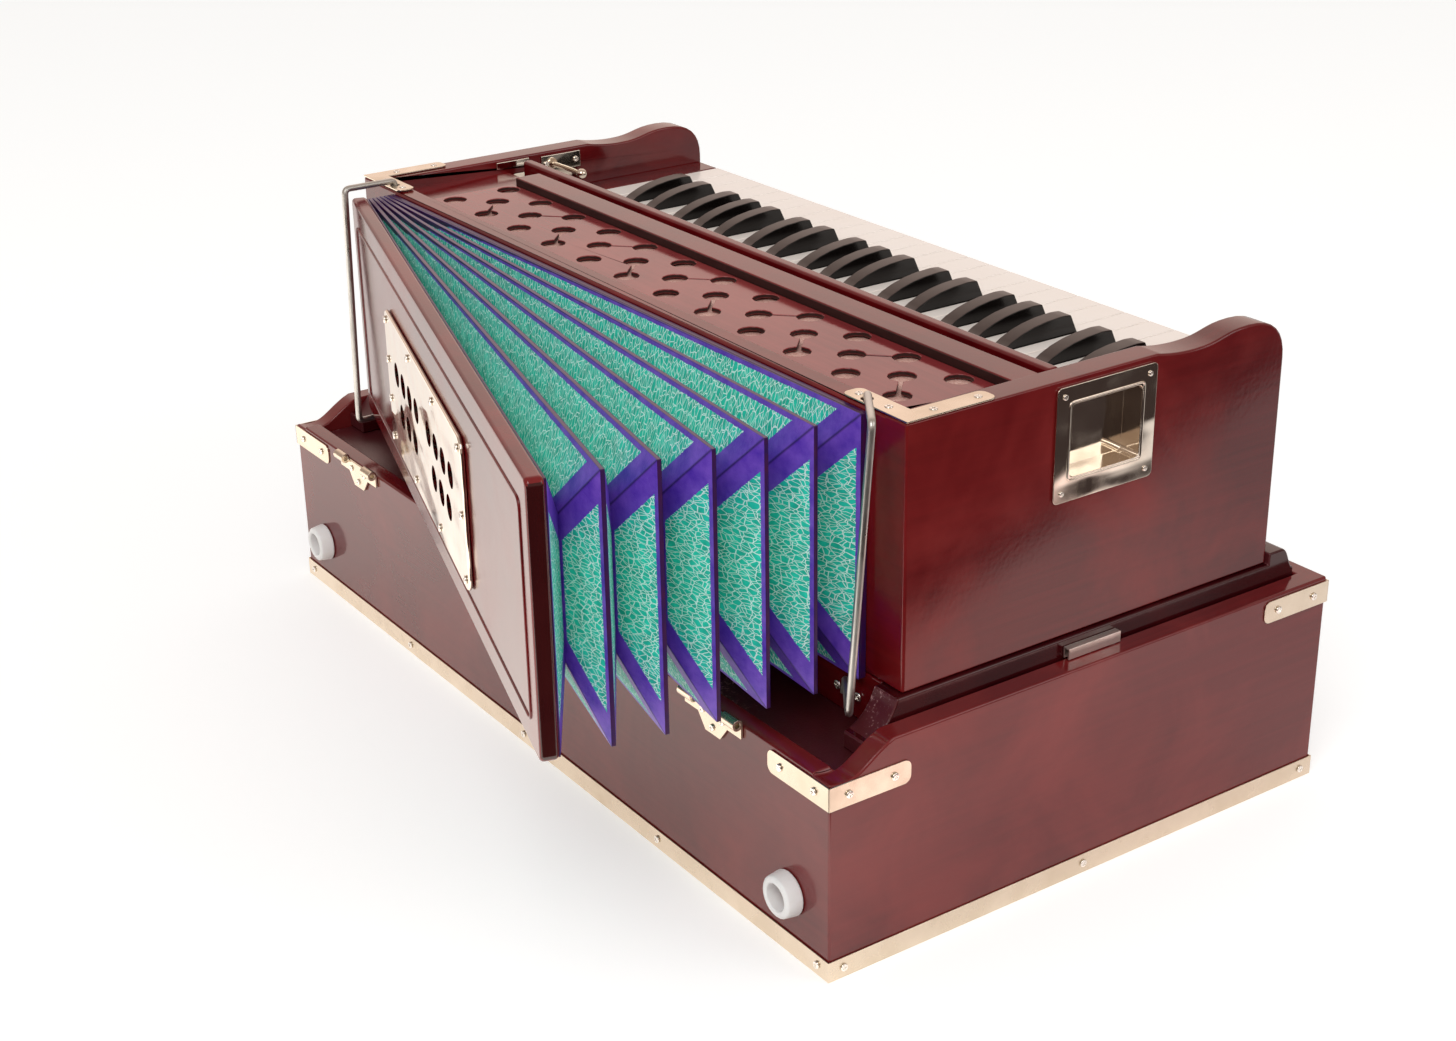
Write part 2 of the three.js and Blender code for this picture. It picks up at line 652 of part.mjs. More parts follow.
// One octave's F to A play on their own; the others are tied in two banks
const singleWhites = { 10: 'key_f', 11: 'key_g', 12: 'key_a' };
const singleBlacks = { 11: 'key_f_sharp', 12: 'key_g_sharp', 13: 'key_a_sharp' };
const bankWhites = [];
const bankBlacks = [];
for (let i = 0; i < keys.whites; i += 1) {
  if (i in singleWhites) addPiece(singleWhites[i], whiteKey(i), whitePlastic);
  else bankWhites.push(i);
  if (!hasBlackBelow(i)) continue;
  if (i in singleBlacks) addPiece(singleBlacks[i], blackKey(i), blackPlastic);
  else bankBlacks.push(i);
}
const barInner = balance.width / 2 + 2 * running;
addPiece('white_keys', joined(...bankWhites.map(whiteKey),
  ...tieBar(bankWhites.map(whiteSpan), -barInner - keys.barWidth, -barInner)), whitePlastic);
addPiece('black_keys', joined(...bankBlacks.map(blackKey),
  ...tieBar(bankBlacks.map(blackSpan), barInner, barInner + keys.barWidth)), blackPlastic);

for (const [side, sign] of sides) {
  const [near, far] = [keyboardHalf + keys.side, innerHalf];
  const [x0, x1] = sign > 0 ? [near, far] : [-far, -near];
  addPiece(`key_block_${side}`, block(x0, x1, whiteFront, keyRail.front + keyRail.depth,
    reedTop + touch, keyTop), mahogany);
}

// Top frame, key rail and grille board
const openingRight = innerHalf - top.ledgeWidth;
const openingFront = top.frameFront + top.stripDepth;
const openingBack = bodyBack - top.backRail;

function topFrameGeometry() {
  const board = block(-innerHalf, innerHalf, top.frameFront, bodyBack, frameBottom, frameTop);
  const opening = block(-innerHalf - overrun, openingRight, openingFront, openingBack,
    frameBottom - overrun, frameTop + overrun);
  const ledge = block(openingRight - overrun, innerHalf + overrun, top.frameFront - overrun,
    openingBack, frameTop - top.ledgeDrop, frameTop + overrun);
  return cut(board, [opening, ledge, ...bailBores()]);
}

function bailTop(sign) {
  return new THREE.Vector3(sign * (bodyHalf - bail.topInset), bodyBack - bail.topSetback,
    bodyTop + touch + cornerPlate.thickness + bail.topRise);
}

function bailLow(sign) {
  return new THREE.Vector3(sign * (bodyHalf - bail.lowInset), bodyBack + bail.lowLap,
    railBottom + bail.lowRise);
}

function bailBores() {
  return sides.map(([, sign]) => {
    const place = bailTop(sign);
    const bore = circleAt(place.x, place.y, bail.bore);
    return prismZ(bore, frameTop - bail.pin - overrun, bodyTop + overrun, 5);
  });
}

addPiece('top_frame', topFrameGeometry(), mahogany);

const railRight = innerHalf - keyRail.rightSetback;
const railOval = new THREE.Shape();
railOval.moveTo(-innerHalf, keyRail.front);
railOval.lineTo(railRight - keyRail.depth / 2, keyRail.front);
railOval.absarc(railRight - keyRail.depth / 2, keyRail.front + keyRail.depth / 2, keyRail.depth / 2,
  -Math.PI / 2, Math.PI / 2);
railOval.lineTo(-innerHalf, keyRail.front + keyRail.depth);
addPiece('key_rail', prismZ(railOval, keyTop + touch, frameTop, 4), mahogany);

function grilleGeometry() {
  const z1 = frameTop - grille.drop;
  const z0 = z1 - grille.thickness;
  const [x0, x1] = [-innerHalf + touch, openingRight - touch];
  const [y0, y1] = [openingFront + touch, openingBack - touch];
  const { pitch, rowSpacing } = grille;
  const middle = (y0 + y1) / 2 - grille.rowShift;
  const last = x1 - grille.endMargin;
  const cutters = [];
  function hole(x, y) {
    cutters.push(prismZ(circleAt(x, y, grille.hole), z0 - overrun, z1 + overrun, 6));
  }
  function slot(xa, ya, xb, yb, width) {
    const length = Math.hypot(xb - xa, yb - ya);
    const kerf = new THREE.BoxGeometry(length, width, grille.thickness + 2 * overrun);
    kerf.rotateZ(Math.atan2(yb - ya, xb - xa));
    cutters.push(kerf.translate((xa + xb) / 2, (ya + yb) / 2, (z0 + z1) / 2));
  }
  for (let i = 0; i < grille.longRow; i += 1) {
    const x = last - i * pitch;
    hole(x, middle + rowSpacing);
    hole(x, middle - rowSpacing);
    if (i === grille.longRow - 1) continue;
    const between = x - pitch / 2;
    hole(between, middle);
    if (i % 2 === 0) slot(between, middle, x - pitch, middle + rowSpacing, grille.thickSlot);
    else slot(between, middle, x - pitch, middle - rowSpacing, grille.thinSlot);
  }
  return cut(block(x0, x1, y0, y1, z0, z1), cutters);
}
addPiece('grille_board', grilleGeometry(), mahogany);

// Corner plates, bored for the bails
for (const [side, sign] of sides) {
  const outer = sign * bodyHalf;
  const [back, z0] = [bodyBack, bodyTop + touch];
  const armX = outer - sign * cornerPlate.armX;
  const inner = outer - sign * cornerPlate.width;
  const plate = polygon([
    [outer, back], [armX, back], [armX, back - cornerPlate.width], [inner, back - cornerPlate.width],
    [inner, back - cornerPlate.armY], [outer, back - cornerPlate.armY],
  ]);
  const bore = circleAt(bailTop(sign).x, bailTop(sign).y, bail.bore);
  plate.holes.push(bore);
  addPiece(`corner_plate_${side}`, prismZ(plate, z0, z0 + cornerPlate.thickness, 5), plated);
}

// Cup handles: a screwed plate with a pressed cup behind it
function cupGeometry() {
  const half = cup.width / 2;
  const plate = rectangle(cupCentreY - half, cupCentreY + half, cupTop - cup.height, cupTop, cup.corner);
  const dish = rectangle(mouth.y0 - cup.wall, mouth.y1 + cup.wall, mouth.z0 - cup.wall,
    mouth.z1 + cup.wall, cup.corner);
  const hollow = rectangle(mouth.y0, mouth.y1, mouth.z0, mouth.z1, cup.corner);
  const face = bodyHalf + touch;
  const plateSolid = prismX(plate, face, face + cup.plate, 3);
  const dishSolid = prismX(dish, face - cup.depth, face + cup.plate, 3);
  const well = prismX(hollow, face - cup.depth + cup.wall, face + cup.plate + overrun, 3);
  return cut(joined(plateSolid, dishSolid), [well]);
}

const cupShape = cupGeometry();
for (const [side, sign] of sides) {
  const geometry = cupShape.clone();
  if (sign < 0) geometry.rotateZ(Math.PI).translate(0, 2 * cupCentreY, 0);
  addPiece(`cup_handle_${side}`, geometry, plated);
}

// Coupler knob on the right cheek's inner face: a ball on a stem
addPiece('coupler_knob', joined(
  new THREE.SphereGeometry(coupler.ball, 14, 9).translate(innerHalf - coupler.reach, 0, 0),
  new THREE.CylinderGeometry(coupler.stem, coupler.stem, coupler.reach, 10).rotateZ(Math.PI / 2)
    .translate(innerHalf - coupler.reach / 2, 0, 0),
), plated).position.set(0, -coupler.back, bodyTop - coupler.drop);

// Bellows: every fold lies between two planes that fan out from the shut end
const bellowsBottom = bodyBottom - bellows.bottomDrop;
const bellowsTop = bodyTop - bellows.topDrop;
const hingeX = bodyHalf - bellows.hingeInset;
const bellowsReach = hingeX + bodyHalf - bellows.endInset;
const fanY = bodyBack + touch + bellows.frame;
const foldAngle = THREE.MathUtils.degToRad(bellows.openAngle) / bellows.folds;

// A point on plane number `plane`, moved off it by `offset`, `reach` away from the shut end
function fanPoint(plane, offset, reach, z) {
  const angle = plane * foldAngle;
  const [dx, dy] = [-Math.cos(angle), Math.sin(angle)];
  const x = hingeX + dx * reach + dy * offset;
  const y = fanY + plane * bellows.foldPitch + dy * reach - dx * offset;
  return [x, y, z];
}

// The section of a fold: rim, valley, rim, and back along the inside of the leaves
function foldGeometry(fold) {
  const [near, middle, far] = [fold - 1, fold - 0.5, fold];
  const half = touch / 2;
  const innerDepth = bellows.leafDepth + bellows.leafWall;
  const outside = [
    [near, half, 0], [near, half + bellows.rim, 0], [middle, 0, bellows.leafDepth],
    [far, -half - bellows.rim, 0], [far, -half, 0],
  ];
  const inside = [
    [far, -half, bellows.leafWall], [middle, bellows.valley, innerDepth],
    [middle, -bellows.valley, innerDepth], [near, half, bellows.leafWall],
  ];
  const section = [...outside, ...inside];
  const positions = [];
  for (const [plane, offset, inset] of section) {
    const [low, high] = [inset - bellows.hingeLap, bellowsReach - inset];
    const [z0, z1] = [bellowsBottom + inset, bellowsTop - inset];
    for (const [reach, z] of [[low, z0], [high, z0], [high, z1], [low, z1]]) {
      positions.push(...fanPoint(plane, offset, reach, z));
    }
  }
  const index = [];
  for (let ring = 0; ring < section.length; ring += 1) {
    const next = (ring + 1) % section.length;
    for (let corner = 0; corner < 4; corner += 1) {
      const turn = (corner + 1) % 4;
      const [a, b] = [ring * 4 + corner, ring * 4 + turn];
      const [c, d] = [next * 4 + turn, next * 4 + corner];
      if (ring < outside.length) index.push(a, b, c, a, c, d);
      else index.push(a, b, d, b, c, d);
    }
  }
  const geometry = new THREE.BufferGeometry();
  geometry.setAttribute('position', new THREE.Float32BufferAttribute(positions, 3));
  geometry.setIndex(index);
  return geometry;
}

const frameOutline = rectangle(hingeX - bellowsReach, hingeX + bellows.hingeLap,
  bellowsBottom, bellowsTop);
frameOutline.holes.push(rectangle(hingeX - bellowsReach + bellows.frameInset,
  hingeX + bellows.hingeLap - bellows.frameInset, bellowsBottom + bellows.frameInset,
  bellowsTop - bellows.frameInset));
addPiece('bellows_frame', prismY(frameOutline, bodyBack + touch, fanY), bellowsTape);

for (let fold = 1; fold <= bellows.folds; fold += 1) {
  addPiece(`fold_${fold}`, foldGeometry(fold), fold === bellows.folds ? bellowsTape : bellowsCard);
}

// Pump board and its plate, drawn shut and turned open about the hinge edge
const pumpGroup = new THREE.Group();
pumpGroup.position.set(hingeX, fanY + bellows.folds * bellows.foldPitch, 0);
pumpGroup.rotation.z = -THREE.MathUtils.degToRad(bellows.openAngle);
model.add(pumpGroup);

const plateCentre = -pumpPlate.fromHinge - pumpPlate.width / 2;
const plateMiddle = (bellowsBottom + bellowsTop) / 2 - pumpPlate.drop;

// Two clusters of round air holes, a row of four over a row of three, through plate and board
const airHoles = [];
for (const sign of [-1, 1]) {
  const centre = plateCentre + (sign * pumpPlate.clusterSpacing) / 2;
  for (const [row, count] of [[1, pumpPlate.upperRow], [-1, pumpPlate.lowerRow]]) {
    for (let i = 0; i < count; i += 1) {
      const x = centre + (i - (count - 1) / 2) * pumpPlate.holePitch;
      airHoles.push(circleAt(x, plateMiddle + (row * pumpPlate.rowSpacing) / 2, pumpPlate.hole));
    }
  }
}

const pumpOutline = rectangle(-bellowsReach - pump.endLap, bellows.hingeLap,
  bellowsBottom, bellowsTop + pump.topLap, pump.edge);
pumpOutline.holes.push(...airHoles);
addPiece('pump_board', prismY(pumpOutline, touch, touch + pump.thickness, 6), mahogany, pumpGroup);

const plateOutline = rectangle(plateCentre - pumpPlate.width / 2, plateCentre + pumpPlate.width / 2,
  plateMiddle - pumpPlate.height / 2, plateMiddle + pumpPlate.height / 2, pumpPlate.corner);
plateOutline.holes.push(...airHoles);
const plateFace = touch + pump.thickness + touch;
addPiece('pump_plate', prismY(plateOutline, plateFace, plateFace + pumpPlate.thickness, 6),
  chrome, pumpGroup);

// Wire bails: the right one holds the shut end of the pump, the left one is swung free
function bailGeometry(sign, turn) {
  const upper = bailTop(sign);
  const lower = bailLow(sign);
  const axis = upper.clone().sub(lower).normalize();
  const arm = new THREE.Vector3(0, 1, 0).addScaledVector(axis, -axis.y).normalize()
    .multiplyScalar(bail.reach).applyAxisAngle(axis, THREE.MathUtils.degToRad(turn));
  const pinEnd = upper.clone().addScaledVector(axis, -bail.pin);
  const lowPin = lower.clone().addScaledVector(axis, -bail.pin);
  return wire([pinEnd, upper, upper.clone().add(arm), lower.clone().add(arm), lower, lowPin]
    .map((point) => point.toArray()), bail.wire, bail.bend, 52);
}
addPiece('bail_left', bailGeometry(-1, bail.freeAngle), plated);
addPiece('bail_right', bailGeometry(1, bail.lockedAngle), plated);

export default model;
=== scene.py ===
import json
import math

import bpy
from mathutils import Matrix, Vector

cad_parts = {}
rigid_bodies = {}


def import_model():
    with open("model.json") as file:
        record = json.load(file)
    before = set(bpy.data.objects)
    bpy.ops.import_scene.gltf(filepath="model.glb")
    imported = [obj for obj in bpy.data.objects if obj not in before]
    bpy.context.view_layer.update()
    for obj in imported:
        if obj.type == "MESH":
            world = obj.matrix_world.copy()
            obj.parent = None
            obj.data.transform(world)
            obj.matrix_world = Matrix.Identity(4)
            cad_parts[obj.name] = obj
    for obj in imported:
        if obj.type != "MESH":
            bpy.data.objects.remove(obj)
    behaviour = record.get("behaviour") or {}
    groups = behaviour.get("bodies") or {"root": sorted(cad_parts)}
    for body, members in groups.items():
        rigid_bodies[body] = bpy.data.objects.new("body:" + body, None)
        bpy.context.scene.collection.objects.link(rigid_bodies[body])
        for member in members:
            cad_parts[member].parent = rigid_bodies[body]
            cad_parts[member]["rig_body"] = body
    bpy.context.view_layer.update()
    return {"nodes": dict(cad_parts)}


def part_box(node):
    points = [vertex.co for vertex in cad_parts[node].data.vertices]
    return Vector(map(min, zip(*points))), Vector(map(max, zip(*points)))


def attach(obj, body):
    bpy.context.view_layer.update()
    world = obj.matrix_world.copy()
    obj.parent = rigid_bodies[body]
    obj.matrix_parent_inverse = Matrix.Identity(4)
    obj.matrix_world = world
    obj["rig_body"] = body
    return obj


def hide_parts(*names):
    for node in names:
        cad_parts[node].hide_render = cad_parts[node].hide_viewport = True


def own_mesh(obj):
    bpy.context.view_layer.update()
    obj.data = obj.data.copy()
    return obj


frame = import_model()

# Studio
# A pale seamless floor in an even pale room, with a broad soft lamp over the camera's shoulder and
# a weaker one off the bass end. The camera looks from behind the instrument's bass end.
camera_place = (-1.0935, 0.7749, 0.6941)
azimuth, elevation, roll = (math.radians(angle) for angle in (235.575, 23.67, -0.97))
towards_camera = Vector((math.sin(azimuth) * math.cos(elevation),
                         -math.cos(azimuth) * math.cos(elevation), math.sin(elevation)))
level = Vector((0, 0, 1)).cross(towards_camera).normalized()
upright = towards_camera.cross(level)
frame_right = level * math.cos(roll) + upright * math.sin(roll)
frame_up = upright * math.cos(roll) - level * math.sin(roll)
bpy.ops.object.select_all(action="DESELECT")
bpy.ops.object.camera_add()
camera = bpy.context.object
camera.data.lens = 54.49
camera.data.sensor_width = 36
camera.matrix_world = Matrix.Translation(camera_place) @ Matrix(
    (frame_right, frame_up, towards_camera)).transposed().to_4x4()
bpy.context.scene.camera = camera


def linear(colour):
    """An sRGB hex colour as linear red, green, blue and alpha."""
    shares = [int(colour[i:i + 2], 16) / 255 for i in (1, 3, 5)]
    return tuple(s / 12.92 if s <= 0.04045 else ((s + 0.055) / 1.055) ** 2.4 for s in shares) + (1,)


def feed(tree, node, feeds):
    """Sets or links a node's inputs, each by its name or number.

    A hex colour is turned to linear, and a node stands for its first output in use. A map range
    counts value, from, to, new from and new to. A mix counts its share as 0, then two numbers as
    2 and 3, two vectors as 4 and 5, and two colours as 6 and 7.
    """
    for name, value in feeds.items():
        if isinstance(value, bpy.types.Node):
            value = next(output for output in value.outputs if output.enabled)
        if isinstance(value, bpy.types.NodeSocket):
            tree.links.new(value, node.inputs[name])
        else:
            node.inputs[name].default_value = linear(value) if isinstance(value, str) else value


def put(tree, kind, feeds=None, stops=(), **settings):
    """Adds a node with its settings and feeds, and a colour ramp's two places and colours."""
    node = tree.nodes.new("ShaderNode" + kind)
    for name, value in settings.items():
        setattr(node, name, value)
    feed(tree, node, feeds or {})
    for i, (place, colour) in enumerate(stops):
        node.color_ramp.elements[i].position = place
        node.color_ramp.elements[i].color = linear(colour)
    return node


def new_finish(name):
    """A material with one Principled shader, and its tree and shader."""
    finish = bpy.data.materials.new(name)
    finish.use_nodes = True
    tree = finish.node_tree
    tree.nodes.clear()
    shader = put(tree, "BsdfPrincipled")
    put(tree, "OutputMaterial", {"Surface": shader})
    return finish, tree, shader


# Painted paper sweep: matt white to the camera, with an even glow that only the camera sees.
# Polished surfaces see a painted reflection in it, a glow only glossy rays see: bright behind the
# instrument, pinker beside it, and falling away to dark beyond a slanting edge on its bass side.
paper, tree, shader = new_finish("studio_paper")
path = put(tree, "LightPath").outputs
place = put(tree, "SeparateXYZ", {0: put(tree, "TexCoord").outputs["Object"]}).outputs
slanting = put(tree, "Math", {0: place["Y"], 1: -0.342, 2: place["X"]}, operation="MULTIPLY_ADD")
beside = put(tree, "MapRange", {0: slanting, 1: -0.565, 2: -0.53}, interpolation_type="SMOOTHSTEP")
dark_share = put(tree, "Math", {0: 1.0, 1: beside}, operation="SUBTRACT")
dark_mirrored = put(tree, "Math", {0: dark_share, 1: path["Is Glossy Ray"]}, operation="MULTIPLY")
paper_colour = put(tree, "Mix", {0: dark_mirrored, 6: "#efefee", 7: "#281716"}, data_type="RGBA")
# the painted reflection is warmest and brightest along that edge, and fades towards the front
edge_glow = put(tree, "MapRange", {0: slanting, 1: -0.5, 2: -0.36, 3: 1, 4: 0},
                interpolation_type="SMOOTHSTEP")
forward = put(tree, "MapRange", {0: place["Y"], 1: -0.5, 2: -0.15, 3: 0, 4: 1},
              interpolation_type="SMOOTHSTEP")
warm_edge = put(tree, "Math", {0: edge_glow, 1: forward}, operation="MULTIPLY")
side_tint = put(tree, "Mix", {0: warm_edge, 6: (1, 0.77, 0.7, 1), 7: (1, 0.42, 0.36, 1)},
                data_type="RGBA")
back_share = put(tree, "MapRange", {0: place["Y"], 1: -0.05, 2: 0.15})
glow_tint = put(tree, "Mix", {0: back_share, 6: side_tint, 7: (1, 0.87, 0.78, 1)},
                data_type="RGBA")
paper_glow = put(tree, "Mix", {0: path["Is Glossy Ray"], 6: (1, 1, 1, 1), 7: glow_tint},
                 data_type="RGBA")
even = put(tree, "MapRange", {0: place["Y"], 1: -0.55, 2: -0.25, 3: 0.2, 4: 0.42})
behind = put(tree, "MapRange", {0: place["Y"], 1: 0.1, 2: 0.4}, interpolation_type="SMOOTHSTEP")
edge_reflection = put(tree, "Math", {0: warm_edge, 1: 0.75, 2: even}, operation="MULTIPLY_ADD")
mirrored = put(tree, "Math", {0: behind, 1: 0.95, 2: edge_reflection}, operation="MULTIPLY_ADD")
painted_reflection = put(tree, "Math", {0: mirrored, 1: beside}, operation="MULTIPLY")
lift = put(tree, "Mix", {0: path["Is Glossy Ray"], 2: 0.0, 3: painted_reflection})
seen = put(tree, "Math", {0: path["Is Camera Ray"], 1: 0.4, 2: lift}, operation="MULTIPLY_ADD")
feed(tree, shader, {"Base Color": paper_colour, "Roughness": 0.9, "Emission Color": paper_glow,
                    "Emission Strength": seen})
bpy.ops.object.select_all(action="DESELECT")
bpy.ops.mesh.primitive_plane_add(size=16)
floor = bpy.context.object
floor.name = "floor"
floor.data.materials.append(paper)

room = bpy.data.worlds.new("pale_room")
bpy.context.scene.world = room
room.use_nodes = True
tree = room.node_tree
path = put(tree, "LightPath").outputs
# a painted reflection: a tall window across the room, tinted pink, that only glossy rays see, so
# only polished tops reflect it towards the camera
window_way = put(tree, "VectorMath", {
    0: put(tree, "TexCoord").outputs["Generated"], 1: (0.755, -0.518, 0.4)},
    operation="DOT_PRODUCT")
window = put(tree, "MapRange", {0: window_way, 1: 0.7, 2: 1, 3: 0.5, 4: 1.25})
room_and_reflection_tint = put(tree, "Mix", {
    0: path["Is Glossy Ray"], 6: (1, 0.985, 0.965, 1), 7: (1, 0.8, 0.7, 1)}, data_type="RGBA")
room_strength = put(tree, "Mix", {0: path["Is Glossy Ray"], 2: 0.57, 3: window})
room_seen = put(tree, "Mix", {0: path["Is Camera Ray"], 2: room_strength, 3: 1.0})
feed(tree, tree.nodes["Background"], {"Color": room_and_reflection_tint, "Strength": room_seen})
lamp_aim = Vector((0, 0, 0.15))
for stand, size, power in (((-1.6, 1.9, 2.6), 1.8, 37), ((-2.4, -1.4, 1.8), 1.6, 14)):
    bpy.ops.object.light_add(type="AREA", location=stand)
    lamp = bpy.context.object
    lamp.data.size = size
    lamp.data.energy = power
    lamp.rotation_euler = (Vector(stand) - lamp_aim).to_track_quat("Z", "Y").to_euler()
bpy.context.scene.view_settings.view_transform = "Standard"


# Case tray
# Four red-stained mahogany walls round a thin board floor, lap jointed and glued, under a thick
# polished lacquer. Plated corner brackets, a foot band, lid hinges and ring feet are screwed on.
def drawn_out(grain, across, lengthwise):
    """A pattern's three scales, stretched along the grain."""
    return [lengthwise if axis == grain else across for axis in "XYZ"]


def lacquered(name, grain, dark, red, cloud):
    """Mahogany under polished lacquer: a streaky red stain with cloudy patches, and a wet gloss."""
    finish, tree, shader = new_finish(name)
    place = put(tree, "TexCoord").outputs["Object"]
    # grain streaks about 4 mm wide and 150 mm long, along the board
    streaks = put(tree, "Mapping", {"Vector": place, "Scale": drawn_out(grain, 240, 7)})
    streak = put(tree, "TexNoise", {
        "Vector": streaks, "Scale": 1, "Detail": 5, "Roughness": 0.6, "Distortion": 0.3})
    stain = put(tree, "ValToRGB", {"Fac": streak}, stops=((0.12, dark), (0.8, red)))
    # cloudy patches of 50 to 120 mm, where the stain took unevenly
    clouds = put(tree, "TexNoise", {
        "Vector": place, "Scale": 11, "Detail": 4, "Roughness": 0.55, "Distortion": 0.6})
    cloud_share = put(tree, "MapRange", {0: clouds, 1: 0.4, 2: 0.72, 3: 0.0, 4: 0.75})
    colour = put(tree, "Mix", {0: cloud_share, 6: stain, 7: cloud}, data_type="RGBA")
    # the lacquer was rubbed by hand, so its gloss wanders a little
    gloss = put(tree, "MapRange", {0: clouds, 1: 0.3, 2: 0.7, 3: 0.09, 4: 0.19})
    # a faint orange peel of about 3 mm
    peel = put(tree, "TexNoise", {"Vector": place, "Scale": 330, "Detail": 1})
    waves = put(tree, "Bump", {"Height": peel, "Strength": 0.05, "Distance": 0.0004})
    feed(tree, shader, {"Base Color": colour, "Roughness": gloss, "IOR": 1.5, "Normal": waves})
    return finish


case_x = lacquered("lacquered_case_board_along_x", "X", "#5c1417", "#701a1d", "#8a2d2b")
case_y = lacquered("lacquered_case_board_along_y", "Y", "#5c1417", "#701a1d", "#8a2d2b")


def alone(piece):
    """Makes one piece the only one selected, and active."""
    if bpy.context.object and bpy.context.object.mode != "OBJECT":
        bpy.ops.object.mode_set(mode="OBJECT")
    bpy.ops.object.select_all(action="DESELECT")
    piece.select_set(True)
    bpy.context.view_layer.objects.active = piece


def modify(piece, kind, **settings):
    """Adds a modifier with its settings to a piece, and applies it."""
    alone(piece)
    bpy.ops.object.modifier_add(type=kind)
    modifier = piece.modifiers[-1]
    for name, value in settings.items():
        setattr(modifier, name, value)
    bpy.ops.object.modifier_apply(modifier=modifier.name)


def combine(piece, other, operation):
    """Adds another solid to a piece or cuts it away, and drops the other."""
    modify(piece, "BOOLEAN", operation=operation, object=other, solver="EXACT")
    bpy.data.objects.remove(other)


def round_edges(piece, width, steps=2, sharper_than=40):
    """Bevels a piece's sharp edges and shades it smooth with its faces kept flat."""
    alone(piece)
    bpy.ops.object.shade_smooth()
    modify(piece, "BEVEL", width=width, segments=steps, limit_method="ANGLE",
           angle_limit=math.radians(sharper_than), use_clamp_overlap=False)
    modify(piece, "WEIGHTED_NORMAL", weight=100)


def seat(piece, body, slot, *nodes):
    """Fixes a finished piece to its body, and hides the CAD nodes that it stands for. Its slot is
    not used.
    """
    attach(piece, body)
    if nodes:
        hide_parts(*nodes)


same_point, same_plane = 2e-6, math.radians(0.5)


def merged_copy(name, node, finishes, thinned=None):
    """A copy of a CAD piece, its triangles merged to flat faces. It can be thinned from below."""
    piece = bpy.data.objects.new(name, frame["nodes"][node].data.copy())
    bpy.context.collection.objects.link(piece)
    piece.data.materials.clear()
    for finish in finishes:
        piece.data.materials.append(finish)
    alone(piece)
    bpy.ops.mesh.customdata_custom_splitnormals_clear()
    bpy.ops.object.mode_set(mode="EDIT")
    bpy.ops.mesh.select_all(action="SELECT")
    bpy.ops.mesh.remove_doubles(threshold=same_point)
    if thinned:
        bpy.ops.mesh.bisect(plane_co=(0, 0, thinned), plane_no=(0, 0, 1), use_fill=True,
                            clear_inner=True)
        bpy.ops.mesh.select_all(action="SELECT")
    bpy.ops.mesh.dissolve_limited(angle_limit=same_plane)
    bpy.ops.object.mode_set(mode="OBJECT")
    return piece


def glued(name, width, *boards):
    """Boards glued, filled and lacquered over as one piece, with its edges eased.

    Each board is a node, its finish, and how far its ends and its top reach into the next board,
    so that the hairline left at each joint is closed.
    """
    finishes = list(dict.fromkeys(board[1] for board in boards))
    whole = None
    for node, finish, reach_x, reach_up in boards:
        piece = merged_copy(name, node, finishes)
        low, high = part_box(node)
        for vertex in piece.data.vertices:
            at = vertex.co
            if min(abs(at.x - high.x), abs(at.x - low.x)) < 1e-5:
                at.x += math.copysign(reach_x, at.x)
            if abs(at.z - high.z) < 1e-5:
                at.z += reach_up
        for face in piece.data.polygons:
            face.material_index = finishes.index(finish)
        if whole:
            combine(whole, piece, "UNION")
        whole = whole or piece
    bpy.ops.object.mode_set(mode="EDIT")
    bpy.ops.mesh.select_all(action="SELECT")
    bpy.ops.mesh.remove_doubles(threshold=same_point)
    bpy.ops.mesh.dissolve_limited(angle_limit=same_plane, delimit={"NORMAL"})
    bpy.ops.object.mode_set(mode="OBJECT")
    round_edges(whole, width, 3)
    seat(whole, "harmonium", "lacquered_mahogany", *(board[0] for board in boards))


glued("case_walls", 0.0014,
      ("case_left_wall", case_y, 0, 0), ("case_back_wall", case_x, 0.0006, 0),
      ("case_right_wall", case_y, 0, 0), ("case_front_wall", case_x, 0.0006, 0))


# Plywood floor of the tray, brushed with one thin coat of dark stain: matt, with open grain
def stained_board(name, grain):
    """Plain board with one coat of thin stain, darkest in its pores."""
    finish, tree, shader = new_finish(name)
    place = put(tree, "TexCoord").outputs["Object"]
    # open grain about 3 mm wide and 80 mm long
    streaks = put(tree, "Mapping", {"Vector": place, "Scale": drawn_out(grain, 300, 12)})
    streak = put(tree, "TexNoise", {
        "Vector": streaks, "Scale": 1, "Detail": 6, "Roughness": 0.65})
    stain = put(tree, "ValToRGB", {"Fac": streak}, stops=((0.32, "#2c1012"), (0.7, "#56262a")))
    pores = put(tree, "Bump", {"Height": streak, "Strength": 0.25, "Distance": 0.0004})
    feed(tree, shader, {"Base Color": stain, "Roughness": 0.6, "Normal": pores})
    return finish


def pick(piece, kind, chosen):
    """Opens a piece in edit mode with only its chosen faces, edges or vertices selected."""
    alone(piece)
    bpy.ops.object.mode_set(mode="EDIT")
    bpy.ops.mesh.select_mode(type=kind)
    bpy.ops.mesh.select_all(action="DESELECT")
    bpy.ops.object.mode_set(mode="OBJECT")
    mesh = piece.data
    for part in {"FACE": mesh.polygons, "EDGE": mesh.edges, "VERT": mesh.vertices}[kind]:
        part.select = chosen(part)
    bpy.ops.object.mode_set(mode="EDIT")


def round_corners(piece, radius, chosen):
    """Cuts a plate's corners round, at the edges picked by the places of their two ends."""
    pick(piece, "EDGE", lambda edge: chosen(*(piece.data.vertices[i].co for i in edge.vertices)))
    bpy.ops.mesh.bevel(offset=radius, segments=6)
    bpy.ops.object.mode_set(mode="OBJECT")


